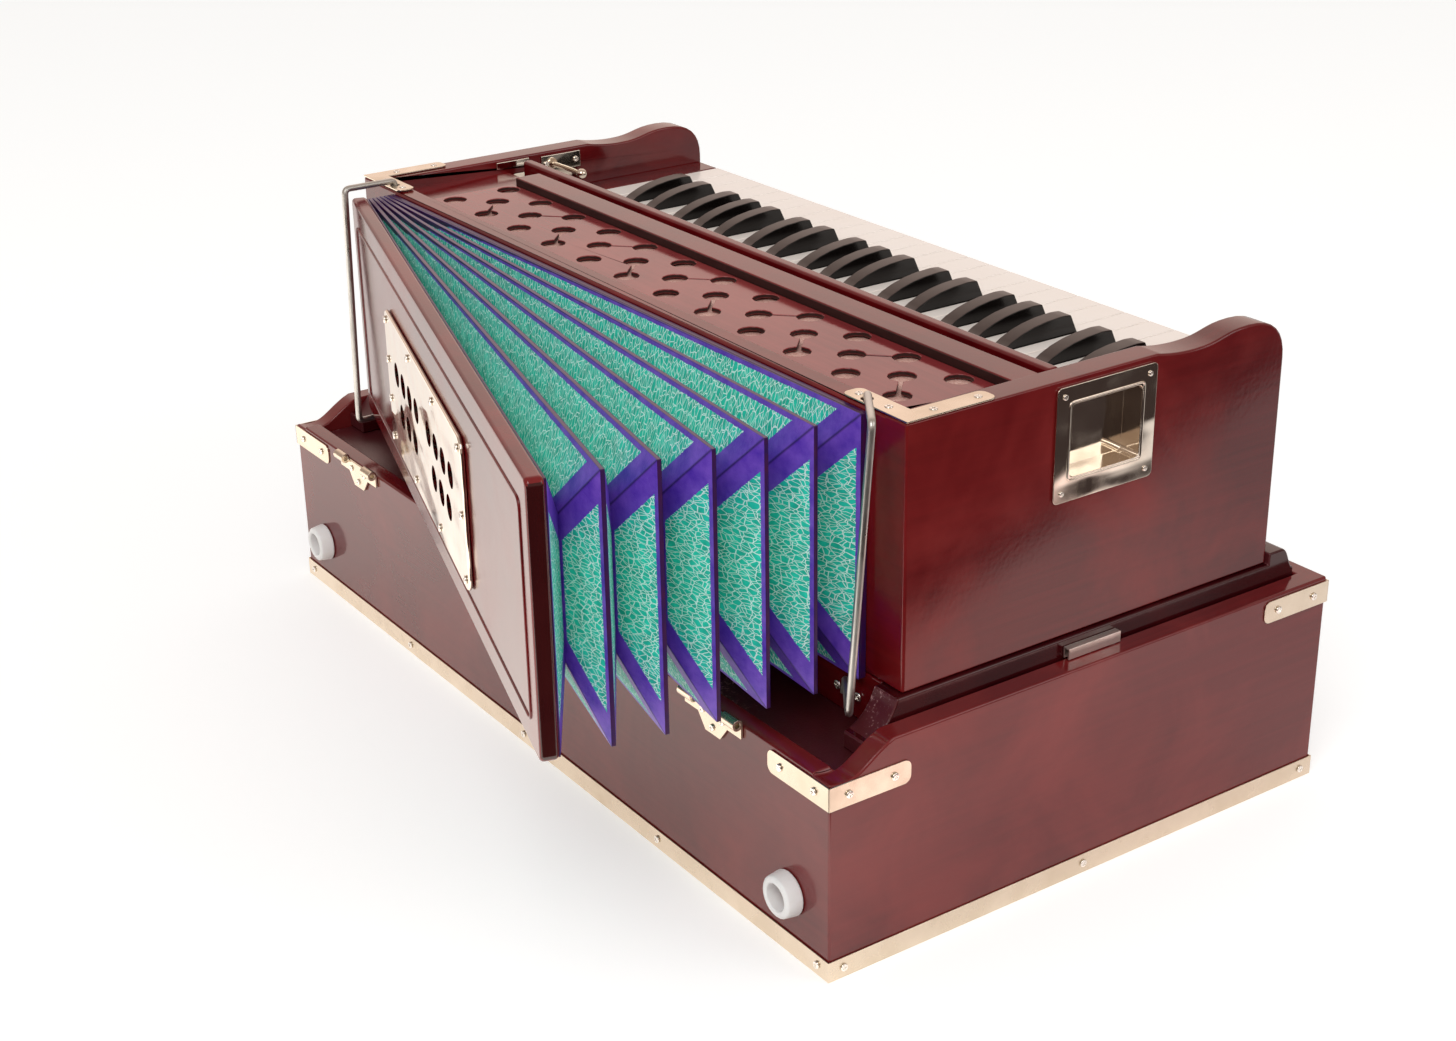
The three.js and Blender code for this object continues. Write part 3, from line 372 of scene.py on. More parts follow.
def eased(node, finish, slot, width, steps=2, sharper_than=40, thinned=None, rounded=None):
    """A CAD piece with its edges eased: a merged copy, bevelled, that stands for it.

    A board can be thinned from below, up to a height. A plate can have corners cut round: their
    radius, and the test that picks them.
    """
    piece = merged_copy(node + "_finished", node, [finish], thinned)
    if rounded:
        round_corners(piece, *rounded)
    round_edges(piece, width, steps, sharper_than)
    seat(piece, frame["nodes"][node]["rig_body"], slot, node)
    return piece


eased("case_floor", stained_board("stained_plywood", "X"), "raw_board", 0.0004)


# Nickel plate on pressed steel: a warm pale metal with fine brush lines and rubbed patches
def plated_steel(name, grain, colour="#e5dac9", rubbed="#cec0aa", rough=0.24):
    """Plated steel, brushed along one axis."""
    finish, tree, shader = new_finish(name)
    place = put(tree, "TexCoord").outputs["Object"]
    # brush lines 25 mm long and 0.4 mm wide, which is coarser than the real ones, so that they show
    lines = put(tree, "Mapping", {"Vector": place, "Scale": drawn_out(grain, 2600, 40)})
    line = put(tree, "TexNoise", {"Vector": lines, "Scale": 1, "Detail": 2})
    # rubbed patches of about 20 mm
    patches = put(tree, "TexNoise", {"Vector": place, "Scale": 45, "Detail": 4})
    dull = put(tree, "MapRange", {0: patches, 1: 0.3, 2: 0.72, 3: rough * 0.7, 4: rough * 1.5})
    tint = put(tree, "Mix", {0: patches, 6: colour, 7: rubbed}, data_type="RGBA")
    brushed = put(tree, "Bump", {"Height": line, "Strength": 0.12, "Distance": 0.0001})
    feed(tree, shader, {"Base Color": tint, "Metallic": 1, "Roughness": dull, "Normal": brushed})
    return finish


plated_x = plated_steel("plated_steel_along_x", "X")
eased("edge_band", plated_x, "plated_metal", 0.0003)


def block(name, *ends):
    """A box between its two ends in x, y and z, to be shaped further."""
    bpy.ops.object.select_all(action="DESELECT")
    bpy.ops.mesh.primitive_cube_add(size=1, location=[(low + high) / 2 for low, high in ends],
                                    scale=[high - low for low, high in ends])
    bpy.ops.object.transform_apply()
    bpy.context.object.name = name
    return bpy.context.object


# One pan-head screw with a cross recess, copied wherever a plate is fixed
head_radius, head_height = 0.0026, 0.0014
bpy.ops.object.select_all(action="DESELECT")
bpy.ops.mesh.primitive_cylinder_add(vertices=20, radius=head_radius, depth=head_height,
                                    location=(0, 0, head_height / 2))
bpy.ops.object.transform_apply()
screw = bpy.context.object
round_edges(screw, head_height / 2, 3, 60)
slot_length, slot_width, slot_depth = 0.0032, 0.0007, 0.0006
for turn in (0, math.pi / 2):
    bpy.ops.object.select_all(action="DESELECT")
    bpy.ops.mesh.primitive_cube_add(size=1, location=(0, 0, head_height), rotation=(0, 0, turn),
                                    scale=(slot_length, slot_width, 2 * slot_depth))
    combine(screw, bpy.context.object, "DIFFERENCE")
screw.data.materials.clear()
screw.data.materials.append(plated_steel("plated_screw", "Z", "#faf8f3", "#e8e4dc", 0.2))


def joined(pieces):
    """Several meshes joined to the first of them."""
    alone(pieces[0])
    for piece in pieces:
        piece.select_set(True)
    if len(pieces) > 1:
        bpy.ops.object.join()
    return pieces[0]


def screwed(name, body, places, facing, size=1.0):
    """Screw heads on a flat place, each turned its own way, as one piece."""
    heads = []
    tilt = Vector((0, 0, 1)).rotation_difference(Vector(facing)).to_matrix().to_4x4()
    for i, at in enumerate(places):
        head = bpy.data.objects.new(name, screw.data.copy())
        bpy.context.collection.objects.link(head)
        head.data.transform(Matrix.Translation(at) @ tilt @ Matrix.Rotation(0.9 * i, 4, "Z")
                            @ Matrix.Scale(size, 4))
        heads.append(head)
    seat(joined(heads), body, "plated_metal")


band_low, band_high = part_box("edge_band")
band_middle = 0.0066
for side, y, facing in (("back", band_high.y, 1), ("front", band_low.y, -1)):
    screwed(f"band_screws_{side}", "harmonium",
            [(x, y, band_middle) for x in (-0.311, -0.156, 0, 0.156, 0.311)], (0, facing, 0), 0.9)
for side, x, facing in (("left", band_low.x, -1), ("right", band_high.x, 1)):
    screwed(f"band_screws_{side}", "harmonium",
            [(x, y, band_middle) for y in (-0.176, 0.004, 0.176)], (facing, 0, 0), 0.9)

# Corner brackets: a strip of plated steel bent round each corner just under the walls' tops
arm, height, gauge = 0.054, 0.014, 0.0009
wall_x, wall_y, below_top = 0.3201, 0.1851, 0.0025
back_top, end_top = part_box("case_back_wall")[1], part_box("case_left_wall")[1]
for y_sign, wall_top in ((1, back_top.z), (-1, end_top.z)):
    z = wall_top - below_top - height / 2
    for x_sign in (-1, 1):
        wood = (x_sign * wall_x, y_sign * wall_y)
        bend = (wood[0] + x_sign * gauge, wood[1] + y_sign * gauge)
        ends = (bend[0] - x_sign * arm, bend[1] - y_sign * arm)
        legs = []
        for axis in (0, 1):
            sides = [sorted(pair) for pair in zip(wood, bend)]
            sides[axis] = sorted((bend[axis], ends[axis]))
            sides.append((z - height / 2, z + height / 2))
            legs.append(block("bracket_leg", *sides))
            round_corners(legs[-1], 0.0045, lambda a, b: abs(a.z - b.z) < 1e-6
                          and max(abs(a[axis] - ends[axis]), abs(b[axis] - ends[axis])) < 1e-5)
        bracket = joined(legs)
        place = ("back" if y_sign > 0 else "front") + ("_left" if x_sign < 0 else "_right")
        bracket.name = f"corner_bracket_{place}"
        bracket.data.materials.append(plated_x)
        round_edges(bracket, 0.0002)
        seat(bracket, "harmonium", "plated_metal")
        screwed(f"bracket_screws_{place}_long", "harmonium",
                [(wood[0] - x_sign * d, bend[1], z) for d in (0.012, 0.042)], (0, y_sign, 0), 0.9)
        screwed(f"bracket_screws_{place}_end", "harmonium",
                [(bend[0], wood[1] - y_sign * d, z) for d in (0.012, 0.042)], (x_sign, 0, 0), 0.9)

# Lid hinges: pressed butterfly plates with rolled knuckles, three screws each
hinge_gauge = 0.0018
for side in ("left", "right"):
    low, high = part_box(f"lid_hinge_{side}")
    eased(f"lid_hinge_{side}", plated_x, "plated_metal", 0.00025, 2, 44)
    middle = (low.x + high.x) / 2
    screwed(f"lid_hinge_screws_{side}", "harmonium",
            [(middle + x, back_top.y + hinge_gauge, back_top.z + z) for x, z in
             ((-0.0095, -0.0052), (0.0095, -0.0052), (0, -0.0125))], (0, 1, 0), 0.8)

# Ring feet: turned white nylon, a little translucent, with matt scuffs of about 4 mm
nylon, tree, shader = new_finish("turned_nylon")
place = put(tree, "TexCoord").outputs["Object"]
scuffs = put(tree, "TexNoise", {"Vector": place, "Scale": 260, "Detail": 5})
tint = put(tree, "Mix", {0: scuffs, 6: "#ffffff", 7: "#f8f6f2"}, data_type="RGBA")
turning = put(tree, "Bump", {"Height": scuffs, "Strength": 0.08, "Distance": 0.0003})
feed(tree, shader, {
    "Base Color": tint, "Roughness": 0.34, "Normal": turning, "Subsurface Weight": 0.12,
    "Subsurface Radius": (0.004, 0.004, 0.004), "Subsurface Scale": 1})
for side in ("left", "right"):
    eased(f"foot_{side}", nylon, "nylon", 0.0012, 4)

# Carrying handle: a bent rod in a plate with two ears, screwed to the front wall
eased("handle_plate", plated_x, "plated_metal", 0.0003)
eased("carry_handle", plated_x, "plated_metal", 0.0004, 2, 60)
plate_face, plate_middle_z = -0.1869, 0.078
screwed("handle_plate_screws", "harmonium", [
    (x, plate_face, plate_middle_z + z) for x in (-0.061, 0.061) for z in (-0.008, 0.008)],
    (0, -1, 0))

# Base board and its supports
# The instrument stands on a veneered board whose face was sprayed with a dark speckled maroon,
# held near the back wall's top by two plain flaps hinged to the tray's floor.
speckled, tree, shader = new_finish("speckled_maroon_board")
place = put(tree, "TexCoord").outputs["Object"]
# flecks of 1 to 2 mm, in drifts of about 45 mm
flecks = put(tree, "TexNoise", {"Vector": place, "Scale": 620, "Detail": 3, "Roughness": 0.7})
drifts = put(tree, "TexNoise", {"Vector": place, "Scale": 22, "Detail": 3})
fleck_edge = put(tree, "Math", {0: flecks, 1: drifts}, operation="ADD")
fleck = put(tree, "MapRange", {0: fleck_edge, 1: 1.17, 2: 1.3})
ground = put(tree, "Mix", {0: drifts, 6: "#381216", 7: "#642428"}, data_type="RGBA")
speckle = put(tree, "Mix", {0: fleck, 6: ground, 7: "#b98c8a"}, data_type="RGBA")
grit = put(tree, "Bump", {"Height": flecks, "Strength": 0.35, "Distance": 0.0005})
feed(tree, shader, {"Base Color": speckle, "Roughness": 0.3, "Normal": grit})
eased("base_board", speckled, "raw_board", 0.0008)
flap_board = stained_board("stained_flap_board", "Y")
for side in ("left", "right"):
    eased(f"support_flap_{side}", flap_board, "raw_board", 0.0006)


# Foot rails and plinth
# Two mahogany rails under the cheeks, their ends cut to an ogee, with a mitred plinth between.
# The bass-side rail carries a small folded steel channel that the carrying strap hooked into.
def repaint(piece, finish, chosen):
    """Gives the chosen faces of a piece a second finish."""
    piece.data.materials.append(finish)
    for face in piece.data.polygons:
        if chosen(face):
            face.material_index = 1


rail_red = lacquered("lacquered_rail_along_y", "Y", "#260509", "#3c080d", "#4e1114")
mahogany_x = lacquered("lacquered_mahogany_along_x", "X", "#4e070b", "#6d0c12", "#861b1c")
for side in ("left", "right"):
    rail = eased(f"foot_rail_{side}", rail_red, "lacquered_mahogany", 0.0012, 3)
    # the sawn ends, above the base board, drank the stain and dried rough and speckled
    repaint(rail, speckled, lambda face: abs(face.normal.y) > 0.3 and face.center.z > 0.116)
eased("plinth", mahogany_x, "lacquered_mahogany", 0.001)

# the channel: a box without its ends and underside, given the thickness of its sheet
channel = block("rail_channel", (-0.3101, -0.3053), (-0.0265, 0.0125), (0.1345, 0.1411))
pick(channel, "FACE", lambda face: abs(face.normal.y) > 0.9 or face.normal.z < -0.9)
bpy.ops.mesh.delete(type="FACE")
bpy.ops.object.mode_set(mode="OBJECT")
modify(channel, "SOLIDIFY", thickness=0.0012)
channel.data.materials.append(plated_steel("folded_channel", "Y", "#f6f2ec", "#e2dbd2", 0.4))
round_edges(channel, 0.0003)
seat(channel, "harmonium", "plated_metal")

# Body
# Shaped mahogany cheeks glued and pinned to front, back and bottom boards. Inside, bare pale
# boards carry the reeds, their wind holes and a flat leather-sided reservoir.
mahogany_y = lacquered("lacquered_mahogany_along_y", "Y", "#440509", "#600d12", "#84211f")
glued("body_shell", 0.0016,
      ("cheek_left", mahogany_y, 0, 0), ("back_board", mahogany_x, 0.0006, 0.0136),
      ("cheek_right", mahogany_y, 0, 0))
eased("front_board", mahogany_x, "lacquered_mahogany", 0.001)

pale_wood, tree, shader = new_finish("bare_pine")
place = put(tree, "TexCoord").outputs["Object"]
# year rings about 6 mm apart
rings = put(tree, "Mapping", {"Vector": place, "Scale": drawn_out("X", 160, 6)})
ring = put(tree, "TexNoise", {"Vector": rings, "Scale": 1, "Detail": 5})
pale = put(tree, "ValToRGB", {"Fac": ring}, stops=((0, "#a87a48"), (1, "#d9b483")))
pale_grain = put(tree, "Bump", {"Height": ring, "Strength": 0.15, "Distance": 0.0003})
feed(tree, shader, {"Base Color": pale, "Roughness": 0.65, "Normal": pale_grain})
bottom_board = eased("bottom_board", pale_wood, "inner_wood", 0.0004)
# the edge that shows under the front board was stained and lacquered with it
repaint(bottom_board, mahogany_x, lambda face: abs(face.normal.y) > 0.5)
eased("reed_board", pale_wood, "inner_wood", 0.0004)
eased("reservoir_board", pale_wood, "inner_wood", 0.0004)

# Brass reed plate: sawn and filed, so it is bright, with file marks about 1 mm wide across it
brass, tree, shader = new_finish("filed_brass")
place = put(tree, "TexCoord").outputs["Object"]
filing = put(tree, "Mapping", {"Vector": place, "Scale": drawn_out("Y", 900, 60)})
file_mark = put(tree, "TexNoise", {"Vector": filing, "Scale": 1, "Detail": 3})
tint = put(tree, "Mix", {0: file_mark, 6: "#c79d46", 7: "#a67c2c"}, data_type="RGBA")
feed(tree, shader, {"Base Color": tint, "Metallic": 1, "Roughness": 0.32})
eased("reed_bank", brass, "brass", 0.0002)

# Sheepskin on the reservoir's folds: thin black leather whose face is pebbled every millimetre
leather, tree, shader = new_finish("black_sheepskin")
place = put(tree, "TexCoord").outputs["Object"]
pebbles = put(tree, "TexVoronoi", {"Vector": place, "Scale": 900})
tint = put(tree, "Mix", {0: pebbles, 6: "#2b2523", 7: "#15110f"}, data_type="RGBA")
skin = put(tree, "Bump", {"Height": pebbles, "Strength": 0.4, "Distance": 0.0003}, invert=True)
feed(tree, shader, {"Base Color": tint, "Roughness": 0.7, "Normal": skin})
eased("reservoir_folds", leather, "black_leather", 0.003, 3)

# Keyboard
# Wooden levers faced with ivory-white moulded plastic, and sharps moulded in black whose rounded
# crowns fingers have worn satin. They rock on the balance rail under the key rail.
ivory, tree, shader = new_finish("white_key_plastic")
place = put(tree, "TexCoord").outputs["Object"]
# yellowed in patches of about 55 mm, and polished by fingers in ones of about 7 mm
yellowing = put(tree, "TexNoise", {"Vector": place, "Scale": 18, "Detail": 3})
tint = put(tree, "Mix", {0: yellowing, 6: "#fff6ef", 7: "#f8ebe1"}, data_type="RGBA")
finger_wear = put(tree, "TexNoise", {"Vector": place, "Scale": 140, "Detail": 4})
gloss = put(tree, "MapRange", {0: finger_wear, 1: 0.3, 2: 0.7, 3: 0.2, 4: 0.26})
feed(tree, shader, {"Base Color": tint, "Roughness": gloss})
for node in ("white_keys", "key_f", "key_g", "key_a"):
    eased(node, ivory, "white_plastic", 0.0006)

ebony, tree, shader = new_finish("black_key_plastic")
place = put(tree, "TexCoord").outputs["Object"]
# the upper faces carry dust and are worn satin; the moulded sides are glossy and painted near black
# against the lighter tops: painted shade on the sides, painted light on the tops
dust = put(tree, "TexNoise", {"Vector": place, "Scale": 210, "Detail": 5})
dusty_lit_top = put(tree, "Mix", {0: dust, 6: "#2e211d", 7: "#42322d"}, data_type="RGBA")
facing = put(tree, "SeparateXYZ", {0: put(tree, "NewGeometry").outputs["Normal"]}).outputs
lit_top_share = put(tree, "MapRange", {0: facing["Z"], 1: 0.5, 2: 0.85})
tint = put(tree, "Mix", {0: lit_top_share, 6: "#0b0706", 7: dusty_lit_top}, data_type="RGBA")
gloss = put(tree, "MapRange", {0: lit_top_share, 3: 0.2, 4: 0.33})
feed(tree, shader, {"Base Color": tint, "Roughness": gloss, "Specular IOR Level": 0.4})
for node in ("black_keys", "key_f_sharp", "key_g_sharp", "key_a_sharp"):
    eased(node, ebony, "black_plastic", 0.0006, 2, 30)
for i in range(1, 5):
    eased(f"stop_{i}", ebony, "black_plastic", 0.0006)
for side in ("left", "right"):
    eased(f"key_block_{side}", mahogany_y, "lacquered_mahogany", 0.0012)

# Top of the body
# A framed top with the sound-hole grille let in below its face, and a round-ended rail over the
# key pivots. The grille was drilled in three rows and sawn with slanting kerfs.
top_frame = eased("top_frame", mahogany_x, "lacquered_mahogany", 0.0012, 3)
# its back edge lies under the lacquer that runs over from the back board, and its ends are let
# into the cheeks
under_lacquer, let_in = 0.0004, 0.0016
for vertex in top_frame.data.vertices:
    if vertex.co.y > 0.12:
        vertex.co.y -= under_lacquer
    if abs(vertex.co.x) > 0.2825:
        vertex.co.x += math.copysign(let_in, vertex.co.x)
# sawn and drilled walls, painted near black: painted shade for the deep groove behind the front
# rail
painted_shade_black, tree, shader = new_finish("scorched_saw_cut")
place = put(tree, "TexCoord").outputs["Object"]
shade_mottle = put(tree, "TexNoise", {"Vector": place, "Scale": 300, "Detail": 3})
tint = put(tree, "Mix", {0: shade_mottle, 6: "#170806", 7: "#38120f"}, data_type="RGBA")
feed(tree, shader, {"Base Color": tint, "Roughness": 0.45})
repaint(top_frame, painted_shade_black, lambda face: face.normal.y > 0.9 and face.center.y < 0.1)
eased("key_rail", mahogany_x, "lacquered_mahogany", 0.002, 4)
grille_red = lacquered("lacquered_grille", "X", "#6c1f23", "#8e3235", "#a04442")
grille = eased("grille_board", grille_red, "lacquered_mahogany", 0.0005, 2, 50, thinned=0.2883)
# the walls of its holes and kerfs get the same painted shade
repaint(grille, painted_shade_black, lambda face: abs(face.normal.z) < 0.2)

# Dust cloth glued under the sound holes: pale pink cotton, woven open so that the air passes
cotton, tree, shader = new_finish("pink_dust_cloth")
place = put(tree, "TexCoord").outputs["Object"]
# threads 0.9 mm apart, which is coarser than the real weave, so that they show
threads = put(tree, "TexVoronoi", {"Vector": place, "Scale": 1100}, distance="MANHATTAN")
tint = put(tree, "Mix", {0: threads, 6: "#f4cfc3", 7: "#cc988b"}, data_type="RGBA")
feed(tree, shader, {"Base Color": tint, "Roughness": 0.85})
low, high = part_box("grille_board")
cloth_margin, cloth_z, ripple = 0.002, 0.2872, 0.0006
bpy.ops.object.select_all(action="DESELECT")
bpy.ops.mesh.primitive_grid_add(x_subdivisions=60, y_subdivisions=8, size=1, location=(
    (low.x + high.x) / 2, (low.y + high.y) / 2, cloth_z))
cloth = bpy.context.object
cloth.name = "grille_dust_cloth"
cloth.scale = (high.x - low.x - cloth_margin, high.y - low.y - cloth_margin, 1)
bpy.ops.object.transform_apply()
for vertex in cloth.data.vertices:
    vertex.co.z += ripple * math.sin(vertex.co.x * 61) * math.sin(vertex.co.y * 90)
modify(cloth, "SOLIDIFY", thickness=0.0004)
cloth.data.materials.append(cotton)
bpy.ops.object.shade_smooth_by_angle(angle=math.radians(40))
seat(cloth, "harmonium", "lacquered_mahogany", "grille_board")

# Corner plates
# Plated steel L plates over the body's back corners, two screws in each arm, which the bails'
# upper pins pass through.
for side, sign in (("left", -1), ("right", 1)):
    low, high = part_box(f"corner_plate_{side}")
    inner = low.x if sign > 0 else high.x
    eased(f"corner_plate_{side}", plated_x, "plated_metal", 0.0003, 2, 44, rounded=(
        0.0045, lambda a, b: abs(a.z - b.z) > 5e-4 and (
            max(a.y, b.y) < low.y + 1e-4 or max(abs(a.x - inner), abs(b.x - inner)) < 1e-4)))
    edge, back, z, from_edge = sign * 0.3023, 0.124, high.z - 0.0007, 0.0065
    screwed(f"corner_plate_screws_{side}", "harmonium",
            [(edge - sign * from_edge, back - d, z) for d in (0.0225, 0.052)]
            + [(edge - sign * d, back - from_edge, z) for d in (0.0225, 0.047)], (0, 0, 1), 0.9)

# Cup handles
# Pressed and chromed plates with a deep cup, a bright rolled bead round its mouth, and a round
# screw in each corner.
chrome, tree, shader = new_finish("bright_chrome_plate")
place = put(tree, "TexCoord").outputs["Object"]
# wiped, so that it is duller in smears of about 17 mm
smears = put(tree, "TexNoise", {"Vector": place, "Scale": 60, "Detail": 4})
gloss = put(tree, "MapRange", {0: smears, 1: 0.35, 2: 0.75, 3: 0.05, 4: 0.17})
tint = put(tree, "Mix", {0: smears, 6: "#efe7da", 7: "#d6cabb"}, data_type="RGBA")
# rolled sheet, pressed by hand: slow waves, 77 mm by 29 mm, bend its reflections
rolled = put(tree, "Mapping", {"Vector": place, "Scale": (13, 13, 34)})
dents = put(tree, "TexNoise", {"Vector": rolled, "Scale": 1, "Detail": 1})
sheet = put(tree, "Bump", {"Height": dents, "Strength": 0.7, "Distance": 0.003})
feed(tree, shader, {"Base Color": tint, "Metallic": 1, "Roughness": gloss, "Normal": sheet})


def rod(name, points, radius, closed=False, corner=0.003, steps=6):
    """A round wire through points, each corner turned on an arc, as a mesh."""
    path = []
    count = len(points)
    for i, at in enumerate(points):
        here = Vector(at)
        if not closed and i in (0, count - 1):
            path.append(here)
            continue
        before = (Vector(points[i - 1]) - here).normalized()
        after = (Vector(points[(i + 1) % count]) - here).normalized()
        start, end = here + before * corner, here + after * corner
        for step in range(steps + 1):
            t = step / steps
            path.append(start * (1 - t) ** 2 + here * 2 * t * (1 - t) + end * t ** 2)
    curve = bpy.data.curves.new(name, "CURVE")
    curve.dimensions = "3D"
    curve.bevel_depth = radius
    curve.bevel_resolution = 4
    curve.use_fill_caps = True
    line = curve.splines.new("POLY")
    line.points.add(len(path) - 1)
    for point, at in zip(line.points, path):
        point.co = (*at, 1)
    line.use_cyclic_u = closed
    piece = bpy.data.objects.new(name, curve)
    bpy.context.collection.objects.link(piece)
    alone(piece)
    bpy.ops.object.convert(target="MESH")
    piece = bpy.context.object
    bpy.ops.object.shade_smooth_by_angle(angle=math.radians(50))
    return piece


mouth = ((-0.0392, 0.2397), (0.0148, 0.2397), (0.0148, 0.2843), (-0.0392, 0.2843))
bead_radius, bead_sunk, screw_margin = 0.0008, 0.0003, 0.0055
for side, sign in (("left", -1), ("right", 1)):
    low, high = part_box(f"cup_handle_{side}")
    face = low.x if sign < 0 else high.x
    eased(f"cup_handle_{side}", chrome, "plated_metal", 0.0003, 3, 44)
    bead = rod(f"cup_bead_{side}", [(face, y, z) for y, z in mouth], bead_radius, True)
    bead.data.materials.append(chrome)
    bead.data.transform(Matrix.Translation((-sign * bead_sunk, 0, 0)))
    seat(bead, "harmonium", "plated_metal")
    screwed(f"cup_screws_{side}", "harmonium",
            [(face, y, z) for y in (low.y + screw_margin, high.y - screw_margin)
             for z in (low.z + screw_margin, high.z - screw_margin)], (sign, 0, 0), 0.6)

# Coupler
# A ball knob on a stem through the treble cheek, with two small plates beside it, the front one
# screwed.
eased("coupler_knob", chrome, "plated_metal", 0.0001, 1, 80)
coupler_face, cheek_face = 0.2831, 0.2843
for name, along_cheek, upward in (("coupler_front_plate", (-0.042, -0.009), (0.282, 0.294)),
                                  ("coupler_rear_plate", (0.001, 0.028), (0.29, 0.295))):
    plate = block(name, (coupler_face, cheek_face), along_cheek, upward)
    plate.data.materials.append(chrome)
    round_edges(plate, 0.0004)
    seat(plate, "harmonium", "plated_metal")
screwed("coupler_screws", "harmonium", [(coupler_face, y, 0.288) for y in (-0.038, -0.013)],
        (-1, 0, 0), 0.8)

# Bellows
# Six pleats of teal-veined card. Cloth tape joins the leaves along ribs and valleys, thin leather
# gussets close the corners, and violet-painted wooden ribs stand between the pleats.
hinge_x, fan_y, pitch, reach, lap = 0.253, 0.128, 0.003, 0.525, 0.003
folds = 6
fold_turn = math.radians(17.2) / folds
bellows_x, bellows_z = (hinge_x - reach, hinge_x + lap), (0.143, 0.2946)
rib_half, depth, leaf_width = 0.0013, 0.034, 0.0364

card, tree, shader = new_finish("veined_card_and_tape")
leaf = put(tree, "UVMap", uv_map="leaf")
# distances from the mitre at the corner, the rib and the valley
edges = put(tree, "Attribute", attribute_name="edges").outputs["Vector"]
from_edge = put(tree, "SeparateXYZ", {0: edges}).outputs
# crackle veins: bent strands about 6 mm apart that cross each other, in pale mint
bend = put(tree, "TexNoise", {"Vector": leaf, "Scale": 190, "Detail": 2}).outputs["Color"]
bent = put(tree, "Mix", {0: 0.0014, 4: leaf, 5: bend}, data_type="VECTOR")
strands = []
for stretch, slant in (((330, 150, 1), 0.4), ((290, 135, 1), -0.35)):
    drawn = put(tree, "Mapping", {"Vector": bent, "Scale": stretch, "Rotation": (0, 0, slant)})
    cells = put(tree, "TexVoronoi", {"Vector": drawn, "Scale": 1, "Randomness": 1},
                feature="DISTANCE_TO_EDGE", voronoi_dimensions="2D")
    strands.append(put(tree, "MapRange", {0: cells, 1: 0.02, 2: 0.06, 3: 1, 4: 0}))
vein = put(tree, "Math", {0: strands[0], 1: strands[1]}, operation="MAXIMUM")
# its teal ground was washed on in patches of about 8 mm
wash = put(tree, "TexNoise", {"Vector": leaf, "Scale": 120, "Detail": 4})
teal = put(tree, "ValToRGB", {"Fac": wash}, stops=((0.3, "#06ad97"), (0.7, "#22e0c6")))
veined = put(tree, "Mix", {0: vein, 6: teal, 7: "#ecfff9"}, data_type="RGBA")
# cloth tape: over the corner, along the rib and along the valley, with a little fray
fray = put(tree, "TexNoise", {"Vector": leaf, "Scale": 900, "Detail": 2})
fray_by = put(tree, "MapRange", {0: fray, 1: 0.3, 2: 0.7, 3: -0.0003, 4: 0.0003})
strips = []
for part, width in enumerate((0.0118, 0.0027, 0.0023)):
    frayed = put(tree, "Math", {0: from_edge[part], 1: fray_by}, operation="ADD")
    strips.append(put(tree, "Math", {0: frayed, 1: width}, operation="LESS_THAN"))
two_strips = put(tree, "Math", {0: strips[0], 1: strips[1]}, operation="MAXIMUM")
taped = put(tree, "Math", {0: two_strips, 1: strips[2]}, operation="MAXIMUM")
weave = put(tree, "TexNoise", {"Vector": leaf, "Scale": 75, "Detail": 4, "Roughness": 0.6})
violet = put(tree, "ValToRGB", {"Fac": weave}, stops=((0.28, "#4e27ae"), (0.75, "#8659d0")))
# a dark line is painted along the middle of each corner: painted shade in the crease where the
# leather folds
crease_shade_share = put(tree, "MapRange", {0: from_edge[0], 1: 0.0002, 2: 0.0011, 3: 0.7, 4: 0})
crease_shaded_tape = put(tree, "Mix", {0: crease_shade_share, 6: violet, 7: "#160a3c"}, data_type="RGBA")
tint = put(tree, "Mix", {0: taped, 6: veined, 7: crease_shaded_tape}, data_type="RGBA")
gloss = put(tree, "MapRange", {0: taped, 3: 0.55, 4: 0.42})
relief = put(tree, "Math", {0: taped, 1: 2.0, 2: vein}, operation="MULTIPLY_ADD")
raised = put(tree, "Bump", {"Height": relief, "Strength": 0.3, "Distance": 0.0002})
feed(tree, shader, {"Base Color": tint, "Roughness": gloss, "Normal": raised})

# Ribs: thin wooden frames brushed with violet paint over the case's maroon, under a wet varnish
rib_paint, tree, shader = new_finish("violet_painted_rib")
place = put(tree, "TexCoord").outputs["Object"]
# brush marks of about 12 mm, one paint over the other
brush = put(tree, "TexNoise", {"Vector": place, "Scale": 85, "Detail": 5, "Roughness": 0.65})
paint = put(tree, "ValToRGB", {"Fac": brush}, stops=((0.32, "#2a1050"), (0.72, "#47133e")))
dabs = put(tree, "Bump", {"Height": brush, "Strength": 0.2, "Distance": 0.0005})
feed(tree, shader, {"Base Color": paint, "Roughness": 0.28, "Normal": dabs})


def plane_turn(plane):
    """Turns a flat shape in plane 0 out to a plane of the open fan."""
    return Matrix.Translation((hinge_x, fan_y + plane * pitch, 0)) @ Matrix.Rotation(
        -plane * fold_turn, 4, "Z") @ Matrix.Translation((-hinge_x, 0, 0))


rib_bodies = ["harmonium"] + [f"rib_{k}" for k in range(1, folds)] + ["pump"]
for plane in range(folds + 1):
    # the first and last ribs are half as thick, against the body and the pump board
    rib = block(f"bellows_rib_{plane}", bellows_x,
                (-rib_half if plane > 0 else 0, rib_half if plane < folds else 0), bellows_z)
    pick(rib, "FACE", lambda face: abs(face.normal.y) > 0.9)
    bpy.ops.mesh.inset(thickness=0.006, use_individual=True)
    bpy.ops.mesh.bridge_edge_loops()
    bpy.ops.object.mode_set(mode="OBJECT")
    rib.data.materials.append(rib_paint)
    round_edges(rib, 0.0004)
    rib.data.transform(plane_turn(plane))
    seat(rib, rib_bodies[plane], "bellows_tape")

